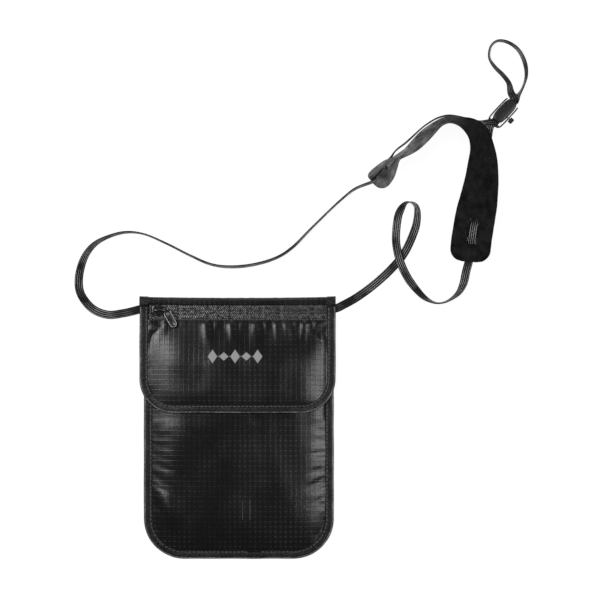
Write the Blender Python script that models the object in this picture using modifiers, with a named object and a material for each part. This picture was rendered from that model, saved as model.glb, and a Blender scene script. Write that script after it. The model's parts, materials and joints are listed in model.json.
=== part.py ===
"""Neck pouch wallet, lying on its back: a flap pouch, a zip pocket in the flap, and a webbing neck strap.

Metres, +Z up.  The pouch's back rests on z = 0, +Y runs from its foot to its fold, +X to its right.
"""
import math

import bmesh
import bpy
from mathutils import Vector

MM = 0.001

# Cloth layers, from the back of the pouch to the front of the flap, at the pouch's edge
CLOTH = 0.4 * MM
GAP = 0.3 * MM
LAYER = CLOTH + GAP
BACK_Z = LAYER
FRONT_Z = 2 * LAYER
FLAP_BASE_Z = 4 * LAYER
LINING_Z = FLAP_BASE_Z + LAYER
OUTER_Z = FLAP_BASE_Z + 2 * LAYER
BINDING_WIDTH = 6.0 * MM
BINDING_CLEAR = 1.2 * MM

# Fullness: how far the cloth stands up over the pocket
FULLNESS = 4.6 * MM
FULL_HALF_WIDTH = 44.5 * MM
EDGE_HALF_WIDTH = 61.5 * MM
FULL_FOOT_Y = -62 * MM
EDGE_FOOT_Y = -88 * MM
FULL_TOP_Y = 64 * MM
EDGE_TOP_Y = 77.5 * MM

# Outlines in plan
BODY_LEFT, BODY_RIGHT, BODY_FOOT, BODY_BIND_TOP = -67.0 * MM, 68.6 * MM, -93.5 * MM, 79 * MM
BODY_RADIUS = 29 * MM
FLAP_LEFT, FLAP_RIGHT, FLAP_FOOT = -69.85 * MM, 69.85 * MM, 10.7 * MM
FLAP_RADIUS = 24 * MM
MOUTH_Y = 66 * MM
MOUTH_SHARE = 0.85
BACK_TOP_Y = 87.4 * MM

# Flap hinge and fold
HINGE_Y = 90.8 * MM
HINGE_Z = 3.0 * MM
FOLD_RADIUS = 2.5 * MM
FOLD_TOP_Y = 88.6 * MM

# Zip
SEAM_Y = 83.5 * MM
ZIP_HALF_LENGTH = 63.1 * MM
ZIP_CENTRE_X = 0.0 * MM
ZIP_Z = 4.35 * MM
TAPE_THICK = 0.3 * MM
COIL_WIDTH = 1.0 * MM
COIL_THICK = 0.7 * MM
TOOTH_PITCH = 2.0 * MM
TOOTH_DEPTH = 0.35 * MM
PANEL_TOP_Y = 77.8 * MM
SLIDER_CENTRE = Vector((-56.3 * MM, 83.7 * MM, 0))
SLIDER_BASE_Z = 5.3 * MM
TAB_ROOT = Vector((-51.3 * MM, 84.6 * MM, 7.3 * MM))
TAB_DIRECTION = math.atan2(-0.874, 0.486)
TAB_LENGTH, TAB_WIDTH, TAB_THICK = 14.7 * MM, 5.4 * MM, 1.3 * MM
TAB_RISE = math.radians(5)

# Strap, neck pad and cord lock
STRAP_WIDTH = 6.0 * MM
STRAP_THICK = 0.9 * MM
STRAP_STEP = 14 * MM
PAD_HALF_WIDTH = 14.2 * MM
PAD_THICK = 1.6 * MM
PAD_LIFT = 1.9 * MM
PAD_CORNER = 9 * MM
PAD_STEP = 6 * MM
SLIT_LENGTH = 8 * MM
SLIT_HALF_WIDTH = 4.3 * MM
OVER_PAD = PAD_THICK / 2 + STRAP_THICK / 2 + 0.4 * MM
LOCK_CENTRE = Vector((190.2 * MM, 225.6 * MM, 0))
LOCK_ANGLE = math.atan2(0.73, 0.68)
LOCK_LENGTH, LOCK_WIDTH, LOCK_HEIGHT = 20 * MM, 9.2 * MM, 5.8 * MM
LOCK_WALL = 1.0 * MM
LOCK_SIDE_WALL = 0.8 * MM
LOCK_STRAND_LOW, LOCK_STRAND_HIGH = 2.0 * MM, 3.4 * MM


# ---------------------------------------------------------------- scene helpers

def clear_scene():
    for obj in list(bpy.data.objects):
        bpy.data.objects.remove(obj)


def new_collection(name):
    collection = bpy.data.collections.new(name)
    bpy.context.scene.collection.children.link(collection)
    return collection


clear_scene()
COLLECTION = new_collection("neck_pouch_wallet")
CUTTERS = new_collection("cutters")


def material(name, colour, roughness, metallic=0.0):
    mat = bpy.data.materials.new(name)
    mat.use_nodes = True
    shader = mat.node_tree.nodes["Principled BSDF"]
    shader.inputs["Base Color"].default_value = (*colour, 1.0)
    shader.inputs["Roughness"].default_value = roughness
    shader.inputs["Metallic"].default_value = metallic
    return mat


def mesh_object(name, bm, mat, smooth=True):
    """Turn a bmesh into an object of the pouch's collection."""
    mesh = bpy.data.meshes.new(name)
    bm.to_mesh(mesh)
    bm.free()
    if smooth:
        mesh.shade_smooth()
    obj = bpy.data.objects.new(name, mesh)
    COLLECTION.objects.link(obj)
    mesh.materials.append(mat)
    return obj


def solidify(obj, thickness, offset=0.0):
    mod = obj.modifiers.new("thickness", "SOLIDIFY")
    mod.thickness = thickness
    mod.offset = offset
    mod.use_even_offset = False
    return mod


def bevel(obj, width, segments=2):
    mod = obj.modifiers.new("rounding", "BEVEL")
    mod.width = width
    mod.segments = segments
    mod.limit_method = "ANGLE"
    mod.angle_limit = math.radians(40)
    return mod


def cut(obj, cutter):
    mod = obj.modifiers.new("cut", "BOOLEAN")
    mod.operation = "DIFFERENCE"
    mod.solver = "EXACT"
    mod.object = cutter


def place(obj, location, angle=0.0):
    obj.location = location
    obj.rotation_euler = (0, 0, angle)


def box(name, low, high, mat):
    bm = bmesh.new()
    bmesh.ops.create_cube(bm, size=1.0)
    size = [b - a for a, b in zip(low, high)]
    middle = [(a + b) / 2 for a, b in zip(low, high)]
    bmesh.ops.scale(bm, vec=size, verts=bm.verts)
    bmesh.ops.translate(bm, vec=middle, verts=bm.verts)
    return mesh_object(name, bm, mat, smooth=False)


def grid(rows, faces_wanted=None):
    """An open surface through rows of points; faces_wanted(row, column) can leave faces out."""
    bm = bmesh.new()
    verts = [[bm.verts.new(p) for p in row] for row in rows]
    for i in range(len(rows) - 1):
        for j in range(len(rows[0]) - 1):
            if faces_wanted is None or faces_wanted(i, j):
                bm.faces.new((verts[i][j], verts[i][j + 1], verts[i + 1][j + 1], verts[i + 1][j]))
    loose = [v for v in bm.verts if not v.link_faces]
    bmesh.ops.delete(bm, geom=loose, context="VERTS")
    return bm


def flat_outline(name, points, thickness, mat):
    """A flat piece from a closed 2D outline, centred on its own z = 0."""
    curve = bpy.data.curves.new(name, "CURVE")
    curve.dimensions = "2D"
    curve.fill_mode = "BOTH"
    curve.extrude = thickness / 2
    spline = curve.splines.new("POLY")
    spline.points.add(len(points) - 1)
    for point, (x, y) in zip(spline.points, points):
        point.co = (x, y, 0, 1)
    spline.use_cyclic_u = True
    obj = bpy.data.objects.new(name, curve)
    COLLECTION.objects.link(obj)
    curve.materials.append(mat)
    return obj


# ---------------------------------------------------------------- shape rules

def ease(t):
    t = min(max(t, 0.0), 1.0)
    return t * t * (3 - 2 * t)


def rise(x, y):
    """Height that the cloth gains over the pocket: nothing at the bindings, full in the middle."""
    across = ease((EDGE_HALF_WIDTH - abs(x)) / (EDGE_HALF_WIDTH - FULL_HALF_WIDTH))
    foot = ease((y - EDGE_FOOT_Y) / (FULL_FOOT_Y - EDGE_FOOT_Y))
    top = ease((EDGE_TOP_Y - y) / (EDGE_TOP_Y - FULL_TOP_Y))
    return FULLNESS * across * foot * top


def edge_x(y, side_x, foot, radius, inset):
    """The side of an outline at height y, inside its rounded lower corner."""
    sign = math.copysign(1, side_x)
    reach = abs(side_x) - inset
    corner = radius - inset
    drop = foot + radius - y
    if drop > 0:
        drop = min(drop, corner)
        reach -= corner - math.sqrt(corner * corner - drop * drop)
    return sign * reach


SIDE_COLUMNS = (1, 0.95, 0.9, 0.855, 0.81, 0.765, 0.72, 0.67, 0.6, 0.3)
ACROSS = [-u for u in SIDE_COLUMNS] + [0] + [u for u in reversed(SIDE_COLUMNS)]


ROW_HEIGHTS = [y * MM for y in (-56, -40, -20, 0, 20, 38, 52, 63, 66, 69, 72, 75, 77.8, 82.5)]


def foot_rows(foot, radius, inset, top):
    """Heights of the rows of a panel: round its corners, then up its straight sides."""
    corner = radius - inset
    steps = 7
    rows = [foot + radius - corner * math.cos(math.pi / 2 * i / steps) for i in range(steps + 1)]
    rows += [y for y in ROW_HEIGHTS if rows[-1] + MM < y < top - MM]
    return rows + [top]


def panel(name, left, right, foot, radius, top, layer_z, mat, domed=True):
    """A cloth panel that fills an outline inside its binding."""
    points = []
    for y in foot_rows(foot, radius, BINDING_CLEAR, top):
        a = edge_x(y, left, foot, radius, BINDING_CLEAR)
        b = edge_x(y, right, foot, radius, BINDING_CLEAR)
        line = []
        for u in ACROSS:
            x = (a + b) / 2 + u * (b - a) / 2
            line.append((x, y, layer_z + CLOTH / 2 + (rise(x, y) if domed else 0)))
        points.append(line)
    obj = mesh_object(name, grid(points), mat)
    solidify(obj, CLOTH)
    return obj


def binding(name, left, right, foot, radius, top, low_z, high_z, mat, flat_below=False):
    """Tape folded round an outline's sides and foot: a U section swept along it."""
    path = [(left, top, -1, 0), (left, (top + foot + radius) / 2, -1, 0)]
    steps = 14
    for i in range(steps + 1):
        turn = math.pi + math.pi / 2 * i / steps
        nx, ny = math.cos(turn), math.sin(turn)
        path.append((left + radius + radius * nx, foot + radius + radius * ny, nx, ny))
    for i in range(steps + 1):
        turn = 1.5 * math.pi + math.pi / 2 * i / steps
        nx, ny = math.cos(turn), math.sin(turn)
        path.append((right - radius + radius * nx, foot + radius + radius * ny, nx, ny))
    path += [(right, (top + foot + radius) / 2, 1, 0), (right, top, 1, 0)]
    low, high = low_z + CLOTH / 2, high_z + CLOTH / 2
    nose = CLOTH / 2
    middle = BINDING_WIDTH * 0.55
    section = ((BINDING_WIDTH, low), (middle, low), (nose + 0.4 * MM, low), (nose, low + 0.4 * MM),
               (nose, high - 0.4 * MM), (nose + 0.4 * MM, high), (middle, high), (BINDING_WIDTH, high))
    points = []
    for x, y, nx, ny in path:
        line = []
        for inset, z in section:
            px, py = x - nx * inset, y - ny * inset
            lies_flat = flat_below and z < low + CLOTH
            line.append((px, py, z if lies_flat else z + rise(px, py)))
        points.append(line)
    obj = mesh_object(name, grid(points), mat)
    solidify(obj, CLOTH)
    return obj


# ---------------------------------------------------------------- pouch

def make_pouch(cloth, tape, hook):
    panel("back_panel", BODY_LEFT, BODY_RIGHT, BODY_FOOT, BODY_RADIUS, BACK_TOP_Y, BACK_Z, cloth,
          domed=False)
    panel("front_panel", BODY_LEFT, BODY_RIGHT, BODY_FOOT, BODY_RADIUS, MOUTH_Y, FRONT_Z, cloth)
    binding("body_binding", BODY_LEFT, BODY_RIGHT, BODY_FOOT, BODY_RADIUS, BODY_BIND_TOP, 0,
            3 * LAYER, tape, flat_below=True)
    make_mouth_binding(tape)
    patch_z = FRONT_Z + CLOTH + FULLNESS
    box("loop_patch", (-26 * MM, 15 * MM, patch_z + 0.25 * MM), (24 * MM, 33 * MM, patch_z + 0.65 * MM),
        hook)
    box("hook_patch", (-24 * MM, 17 * MM, patch_z + 0.9 * MM), (22 * MM, 31 * MM, patch_z + 1.3 * MM),
        hook)


def make_mouth_binding(tape):
    """Narrow tape folded over the pocket's mouth, following its fullness."""
    depth = 5 * MM
    left = BODY_LEFT + BINDING_CLEAR
    right = BODY_RIGHT - BINDING_CLEAR
    rows = []
    for u in (u for u in ACROSS if abs(u) < MOUTH_SHARE):
        x = (left + right) / 2 + u * (right - left) / 2
        low = FRONT_Z - GAP - CLOTH / 4
        high = FRONT_Z + CLOTH + GAP + CLOTH / 4
        foot_y, top_y = MOUTH_Y - depth, MOUTH_Y + GAP + CLOTH / 4
        rows.append([(x, foot_y, low + rise(x, foot_y)), (x, top_y, low + rise(x, foot_y)),
                     (x, top_y, high + rise(x, foot_y)), (x, foot_y, high + rise(x, foot_y))])
    obj = mesh_object("mouth_binding", grid(rows), tape)
    solidify(obj, CLOTH / 2)


# ---------------------------------------------------------------- flap

def make_flap(cloth, lining, tape, ink):
    panel("flap_lining", FLAP_LEFT, FLAP_RIGHT, FLAP_FOOT, FLAP_RADIUS, FOLD_TOP_Y - LAYER, LINING_Z,
          lining)
    panel("flap_panel", FLAP_LEFT, FLAP_RIGHT, FLAP_FOOT, FLAP_RADIUS, PANEL_TOP_Y, OUTER_Z, cloth)
    binding("flap_binding", FLAP_LEFT, FLAP_RIGHT, FLAP_FOOT, FLAP_RADIUS, FOLD_TOP_Y - LAYER,
            FLAP_BASE_Z, FLAP_BASE_Z + 3 * LAYER, tape)
    make_fold(cloth)
    make_emblem(ink)


def make_fold(cloth):
    """The cloth that turns over the top edge, round the hinge line."""
    half = (FLAP_RIGHT - FLAP_LEFT) / 2
    middle = (FLAP_RIGHT + FLAP_LEFT) / 2
    profile = [(FOLD_TOP_Y - 0.3 * MM, HINGE_Z + FOLD_RADIUS)]
    steps = 6
    for i in range(steps + 1):
        turn = math.radians(90 - 100 * i / steps)
        profile.append((HINGE_Y + FOLD_RADIUS * math.cos(turn), HINGE_Z + FOLD_RADIUS * math.sin(turn)))
    rows = [[(middle + side * half, y, z) for y, z in profile] for side in (-1, -0.33, 0.33, 1)]
    obj = mesh_object("flap_fold_strip", grid(rows), cloth)
    solidify(obj, CLOTH)


def make_emblem(ink):
    """A generic printed motif: a row of lozenges on a thin line."""
    count, pitch, half_height, neck = 5, 8.0 * MM, 5.0 * MM, 0.5 * MM
    half_width = 3.5 * MM
    upper = []
    for i in range(count):
        x = (i - (count - 1) / 2) * pitch
        upper += [(x - half_width, neck), (x, half_height), (x + half_width, neck)]
    lower = [(x, -y) for x, y in reversed(upper)]
    emblem = flat_outline("flap_emblem", upper + lower, 0.2 * MM, ink)
    emblem.location = (-1.6 * MM, 51 * MM, OUTER_Z + CLOTH + FULLNESS + 0.4 * MM)


# ---------------------------------------------------------------- zip

def make_zip(tape, coil, metal):
    zip_z = ZIP_Z
    inner = COIL_WIDTH + 0.3 * MM + 0.15 * MM
    left, right = ZIP_CENTRE_X - ZIP_HALF_LENGTH, ZIP_CENTRE_X + ZIP_HALF_LENGTH
    box("zip_tape_upper", (left, SEAM_Y + inner, zip_z), (right, FOLD_TOP_Y - LAYER, zip_z + TAPE_THICK),
        tape)
    box("zip_tape_lower", (left, PANEL_TOP_Y + 0.4 * MM, zip_z),
        (right, SEAM_Y - inner, zip_z + TAPE_THICK), tape)
    make_coil("zip_coil_upper", 1, coil)
    make_coil("zip_coil_lower", -1, coil)
    half_w, half_l, height = 0.6 * MM, 2.0 * MM, 0.8 * MM
    for name, x in (("zip_stop_left", left + half_w), ("zip_stop_right", right - half_w)):
        stop = box(name, (-half_w, -half_l, 0), (half_w, half_l, height), metal)
        bevel(stop, 0.2 * MM)
        stop.location = (x, SEAM_Y, ZIP_Z + 0.85 * MM)


def make_coil(name, side, coil):
    """One half of the zip's chain: a strip with teeth that face the seam."""
    half = ZIP_HALF_LENGTH
    count = int(2 * half / TOOTH_PITCH)
    near = 0.15 * MM
    shift = 0 if side > 0 else TOOTH_PITCH / 2
    points = [(-half, side * (near + COIL_WIDTH)), (-half, side * (near + TOOTH_DEPTH))]
    for i in range(count - 1):
        x = -half + TOOTH_PITCH * (i + 0.3) + shift
        points += [(x, side * (near + TOOTH_DEPTH)), (x + TOOTH_PITCH * 0.1, side * near),
                   (x + TOOTH_PITCH * 0.4, side * near), (x + TOOTH_PITCH * 0.5, side * (near + TOOTH_DEPTH))]
    points += [(half, side * (near + TOOTH_DEPTH)), (half, side * (near + COIL_WIDTH))]
    if side < 0:
        points.reverse()
    chain = flat_outline(name, points, COIL_THICK, coil)
    chain.location = (ZIP_CENTRE_X, SEAM_Y, ZIP_Z + TAPE_THICK / 2)


def make_slider(metal):
    """Slider body with a raised bridge that holds the pull tab."""
    plate = [(-4.9, -2.4), (-3.4, -3.9), (-1.2, -4.3), (1.6, -3.6), (4.6, -2.7), (4.6, 2.7), (1.6, 3.6),
             (-1.2, 4.3), (-3.4, 3.9), (-4.9, 2.4)]
    slider = flat_outline("zip_slider", [(x * MM, y * MM) for x, y in plate], 1.2 * MM, metal)
    depsgraph = bpy.context.evaluated_depsgraph_get()
    mesh = bpy.data.meshes.new_from_object(slider.evaluated_get(depsgraph))
    bpy.data.objects.remove(slider)
    body = bpy.data.objects.new("zip_slider", mesh)
    COLLECTION.objects.link(body)
    bm = bmesh.new()
    bm.from_mesh(mesh)
    bmesh.ops.remove_doubles(bm, verts=bm.verts, dist=0.01 * MM)
    bm.to_mesh(mesh)
    bm.free()
    body.location = SLIDER_CENTRE + Vector((0, 0, SLIDER_BASE_Z + 0.6 * MM))
    bevel(body, 0.3 * MM)
    bridge = slider_bridge()
    union = body.modifiers.new("bridge", "BOOLEAN")
    union.operation = "UNION"
    union.solver = "EXACT"
    union.object = bridge


def slider_bridge():
    """An arch over the slider, along the zip, as a tool for the union."""
    curve = bpy.data.curves.new("bridge_tool", "CURVE")
    curve.dimensions = "3D"
    curve.bevel_depth = 0.7 * MM
    curve.bevel_resolution = 2
    curve.use_fill_caps = True
    arch = [(-3.6, 0.2), (-3.2, 1.5), (-1.6, 2.1), (1.2, 2.1), (3.4, 2.1), (4.5, 1.6), (4.7, 0.7), (3.8, 0.2)]
    spline = curve.splines.new("POLY")
    spline.points.add(len(arch) - 1)
    for point, (x, z) in zip(spline.points, arch):
        point.co = (x * MM, 0, z * MM, 1)
    source = bpy.data.objects.new("bridge_source", curve)
    CUTTERS.objects.link(source)
    depsgraph = bpy.context.evaluated_depsgraph_get()
    mesh = bpy.data.meshes.new_from_object(source.evaluated_get(depsgraph))
    bpy.data.objects.remove(source)
    bm = bmesh.new()
    bm.from_mesh(mesh)
    bmesh.ops.remove_doubles(bm, verts=bm.verts, dist=0.01 * MM)
    bm.to_mesh(mesh)
    bm.free()
    tool = bpy.data.objects.new("bridge_tool", mesh)
    tool.location = SLIDER_CENTRE + Vector((0, 0, SLIDER_BASE_Z + 0.6 * MM))
    tool.hide_render = True
    tool.display_type = "WIRE"
    CUTTERS.objects.link(tool)
    return tool


def make_pull_tab(metal):
    """Pull tab: a flat paddle with an eye at its root, which hangs on the slider's bridge."""
    half = TAB_WIDTH / 2
    root = 1.9 * MM
    outline = [(root, -half + 0.9 * MM), (root + 1.2 * MM, -half)]
    steps = 6
    for i in range(steps + 1):
        turn = -math.pi / 2 + math.pi * i / steps
        outline.append((TAB_LENGTH - half + half * math.cos(turn), half * math.sin(turn)))
    outline += [(root + 1.2 * MM, half), (root, half - 0.9 * MM)]
    tab = flat_outline("zip_pull_tab", outline, TAB_THICK, metal)
    tab.location = TAB_ROOT
    tab.rotation_euler = (0, -TAB_RISE, TAB_DIRECTION)


# ---------------------------------------------------------------- strap, pad and cord lock

def smooth_path(points, step):
    """Points along a smooth curve through the given ones; each point is a tuple of any length."""
    out = []
    count = len(points)
    for i in range(count - 1):
        a, b = points[max(i - 1, 0)], points[i]
        c, d = points[i + 1], points[min(i + 2, count - 1)]
        reach = math.dist(b[:3], c[:3])
        pieces = max(1, round(reach / step))
        for k in range(pieces):
            t = k / pieces
            out.append(tuple(
                0.5 * (2 * q + (r - p) * t + (2 * p - 5 * q + 4 * r - s) * t * t
                       + (3 * q - 3 * r + s - p) * t ** 3) for p, q, r, s in zip(a, b, c, d)))
    out.append(tuple(points[-1]))
    return out


# The neck pad's centre line in plan (mm), and its roll in degrees: 0 lies flat, 90 stands on edge
PAD_ROUTE = [(95.8, 176.7, 56), (100.5, 181.0, 60), (105.1, 185.3, 66), (109.4, 189.2, 78),
             (113.7, 193.1, 88),
             (118.7, 196.3, 84), (124.4, 200.3, 78), (130.8, 206.0, 76), (137.9, 212.0, 80),
             (144.4, 216.8, 86), (151.0, 218.8, 88), (158.0, 217.3, 86), (164.4, 214.3, 78),
             (170.1, 208.6, 70), (172.9, 199.6, 64), (173.6, 188.9, 53), (172.9, 176, 42),
             (171.1, 162.4, 28), (169, 150.3, 12), (166.5, 133.9, 4), (165.1, 118.2, 0)]


def pad_curve():
    """The pad's centre line as evenly spaced points with their distances from its left end."""
    fine = smooth_path([(x * MM, y * MM, 0.0, roll) for x, y, roll in PAD_ROUTE], 1 * MM)
    line = [(0.0, fine[0])]
    for a, b in zip(fine, fine[1:]):
        line.append((line[-1][0] + math.dist(a[:2], b[:2]), b))
    return line


def pad_frame(line, s):
    """Centre, width direction, face direction and roll of the pad at distance s from its left end."""
    i = 1
    while i < len(line) - 1 and line[i][0] < s:
        i += 1
    (s0, a), (s1, b) = line[i - 1], line[i]
    t = (s - s0) / (s1 - s0)
    x, y, _, roll = (p + (q - p) * t for p, q in zip(a, b))
    before, after = line[max(i - 4, 0)][1], line[min(i + 3, len(line) - 1)][1]
    along = Vector((after[0] - before[0], after[1] - before[1], 0)).normalized()
    side = Vector((along.y, -along.x, 0))
    angle = math.radians(roll)
    width = side * math.cos(angle) - Vector((0, 0, 1)) * math.sin(angle)
    face = side * math.sin(angle) + Vector((0, 0, 1)) * math.cos(angle)
    z = PAD_HALF_WIDTH * math.sin(angle) + PAD_THICK / 2 * math.cos(angle) + PAD_LIFT
    return Vector((x, y, z)), width, face, roll


def pad_slits(length):
    """Distances along the pad of the slits that the strap passes through."""
    return (11 * MM, length - 30 * MM, length - 14 * MM)


def make_pad(felt):
    line = pad_curve()
    length = line[-1][0]
    slits = pad_slits(length)
    stations = [0, 1.2 * MM, 4 * MM]
    edges = sorted([c - SLIT_LENGTH / 2 for c in slits] + [c + SLIT_LENGTH / 2 for c in slits])
    marks = [4 * MM] + edges + [length - 4 * MM]
    for a, b in zip(marks, marks[1:]):
        pieces = max(1, round((b - a) / PAD_STEP))
        stations += [a + (b - a) * k / pieces for k in range(1, pieces + 1)]
    stations += [length - 1.2 * MM, length]
    rows = []
    for s in stations:
        centre, width, _, _ = pad_frame(line, s)
        into = min(s, length - s, PAD_CORNER)
        half = PAD_HALF_WIDTH - PAD_CORNER + math.sqrt(PAD_CORNER ** 2 - (PAD_CORNER - into) ** 2)
        inner = min(SLIT_HALF_WIDTH, half * 0.6)
        rows.append([centre + width * v for v in (-half, -(half + inner) / 2, -inner, inner,
                                                  (half + inner) / 2, half)])

    def keep(i, j):
        middle = (stations[i] + stations[i + 1]) / 2
        return j != 2 or not any(abs(middle - c) < SLIT_LENGTH / 2 for c in slits)

    pad = mesh_object("neck_pad", grid(rows, keep), felt)
    solidify(pad, PAD_THICK)


def free_point(x, y, roll, lift=0.0):
    """A point of the strap that rests on its edge or face on the floor, raised by lift millimetres."""
    angle = math.radians(roll)
    z = STRAP_WIDTH / 2 * abs(math.sin(angle)) + STRAP_THICK / 2 * abs(math.cos(angle)) + (lift + 0.1) * MM
    return (x * MM, y * MM, z, roll)


# The strap's route, hand-placed: x and y in mm, roll in degrees, lift in mm
LEFT_RUN = [(-61.5, 84.4, 0, 1.3), (-66.5, 84.6, 0, 1.3), (-70, 84.3, 0, 1.2), (-75, 83, 0, 0.5),
            (-82, 81.5, 4), (-92, 80.4, 8), (-101.5, 83.4, 10), (-108.4, 89.6, 12), (-112.8, 98, 15),
            (-113, 109, 20), (-109.2, 121.4, 34), (-102.4, 130.3, 52), (-92.8, 135.8, 74),
            (-80, 139.2, 86), (-66.8, 137.9, 88), (-50.5, 131.1, 88), (-34.1, 122.8, 88),
            (-18.8, 116.3, 88), (-4, 114.6, 88), (12, 116.3, 88), (27.4, 121, 88), (39.2, 128.6, 88),
            (52.5, 142, 88), (64.3, 153.6, 86), (73.8, 162.4, 82, 1), (83.7, 169.9, 74, 4.5)]
BESIDE_PAD = [(121.0, 204.0, 84, 2.0), (130.8, 213.2, 88), (136.6, 217.4, 88), (142.4, 220.6, 88),
              (149.6, 222.4, 88), (157.0, 221.6, 88), (163.4, 220.0, 84), (168.6, 218.6, 60),
              (173.6, 217.6, 24, 1.2)]
LOOP = [(194.8, 238.4, 22, 1.0), (193.2, 245.4, 46, 0.2), (188.9, 251.3, 52), (183.2, 257.0, 58),
        (179.3, 263.4, 70), (180, 270.8, 76), (184.0, 275.1, 82), (189.5, 275.4, 82),
        (195.8, 272.7, 80), (201.2, 267.3, 76), (204.8, 259, 72), (205.5, 250.5, 78),
        (203.2, 242.6, 74), (199.6, 236.6, 36, 0.2)]
RIGHT_RUN = [(162.9, 111, 4), (161, 103, 24), (157.7, 96.6, 52), (152.2, 91.8, 76), (145.8, 89.0, 84),
             (139.2, 89.4, 76), (131.6, 94.0, 44), (123.1, 103.9, 16, 0.7), (117.6, 113.8, 8, 1.3),
             (114.4, 123.4, 6, 1.3), (112.8, 134.8, 14, 0.5), (114, 148.5, 40), (116.2, 155.4, 66),
             (119.7, 160.0, 88), (124, 160.4, 104), (127.4, 157.2, 126), (128.1, 150.4, 150),
             (126.1, 140.4, 170), (119, 124.8, 180), (109.4, 113, 180), (97.5, 102.1, 180),
             (84.8, 92.8, 180), (75, 87.3, 180, 0.5), (70.5, 85.2, 180, 1.2), (66.5, 84.6, 180, 1.3),
             (62, 84.4, 180, 1.3)]


def on_pad(line, s, offset):
    """A point of the strap beside the pad: offset towards its face, or away from it when negative."""
    centre, _, face, roll = pad_frame(line, s)
    return (*(centre + face * offset), roll)


def in_lock(along, z):
    """A point of the strap in the cord lock's channel."""
    x = LOCK_CENTRE.x + math.cos(LOCK_ANGLE) * along
    y = LOCK_CENTRE.y + math.sin(LOCK_ANGLE) * along
    return (x, y, z, 0.0)


def strap_route():
    """The whole strap as points with a roll, from the pouch's left corner to its right one."""
    line = pad_curve()
    length = line[-1][0]
    first, second, third = pad_slits(length)
    away = 3.4 * MM
    run = [free_point(*p) for p in LEFT_RUN]
    run += [on_pad(line, -1 * MM, OVER_PAD), on_pad(line, 3 * MM, OVER_PAD)]
    run += [on_pad(line, first - away, OVER_PAD), on_pad(line, first + away, -OVER_PAD)]
    run += [on_pad(line, first + 8 * MM, -OVER_PAD - 0.6 * MM),
            on_pad(line, first + 14 * MM, -OVER_PAD - 2.0 * MM)]
    run += [free_point(*p) for p in BESIDE_PAD]
    run += [in_lock(a * MM, LOCK_STRAND_HIGH) for a in (-11.5, -9, 0, 9, 11)]
    run += [free_point(*p) for p in LOOP]
    run += [in_lock(a * MM, LOCK_STRAND_LOW) for a in (11, 9, 0, -9, -11.5)]
    run += [(179.4 * MM, 213.0 * MM, 3.4 * MM, 28.0)]
    back = [(line, share * length, -OVER_PAD - 0.7 * MM) for share in (0.63, 0.66, 0.69, 0.72, 0.75, 0.78)]
    run += [on_pad(*p) for p in back]
    run += [on_pad(line, second - away, -OVER_PAD), on_pad(line, second + away, OVER_PAD)]
    run += [on_pad(line, third - away, OVER_PAD), on_pad(line, third + away, -OVER_PAD)]
    run += [on_pad(line, length - 3 * MM, -OVER_PAD)]
    run += [free_point(*p) for p in RIGHT_RUN]
    return run


def make_strap(webbing):
    profile = bpy.data.curves.new("strap_profile", "CURVE")
    profile.dimensions = "2D"
    spline = profile.splines.new("POLY")
    half_w, half_t = STRAP_WIDTH / 2, STRAP_THICK / 2
    corners = ((-half_w, half_t), (half_w, half_t), (half_w, -half_t), (-half_w, -half_t))
    spline.points.add(3)
    for point, (x, y) in zip(spline.points, corners):
        point.co = (x, y, 0, 1)
    spline.use_cyclic_u = True
    guide = bpy.data.objects.new("strap_profile", profile)
    guide.hide_render = True
    guide.display_type = "WIRE"
    CUTTERS.objects.link(guide)

    curve = bpy.data.curves.new("neck_strap", "CURVE")
    curve.dimensions = "3D"
    curve.twist_mode = "Z_UP"
    curve.bevel_mode = "OBJECT"
    curve.bevel_object = guide
    curve.use_fill_caps = True
    points = smooth_path(strap_route(), STRAP_STEP)
    spline = curve.splines.new("POLY")
    spline.points.add(len(points) - 1)
    for point, (x, y, z, roll) in zip(spline.points, points):
        point.co = (x, y, z, 1)
        point.tilt = math.radians(roll)
    strap = bpy.data.objects.new("neck_strap", curve)
    COLLECTION.objects.link(strap)
    curve.materials.append(webbing)


def lock_outline(length, width, steps=8):
    """A blunt oval: straight sides that draw in towards both ends."""
    points = []
    for i in range(2 * steps):
        turn = 2 * math.pi * (i + 0.5) / (2 * steps)
        c, s = math.cos(turn), math.sin(turn)
        points.append((length / 2 * math.copysign(abs(c) ** 0.6, c),
                       width / 2 * math.copysign(abs(s) ** 0.7, s)))
    return points


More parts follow.
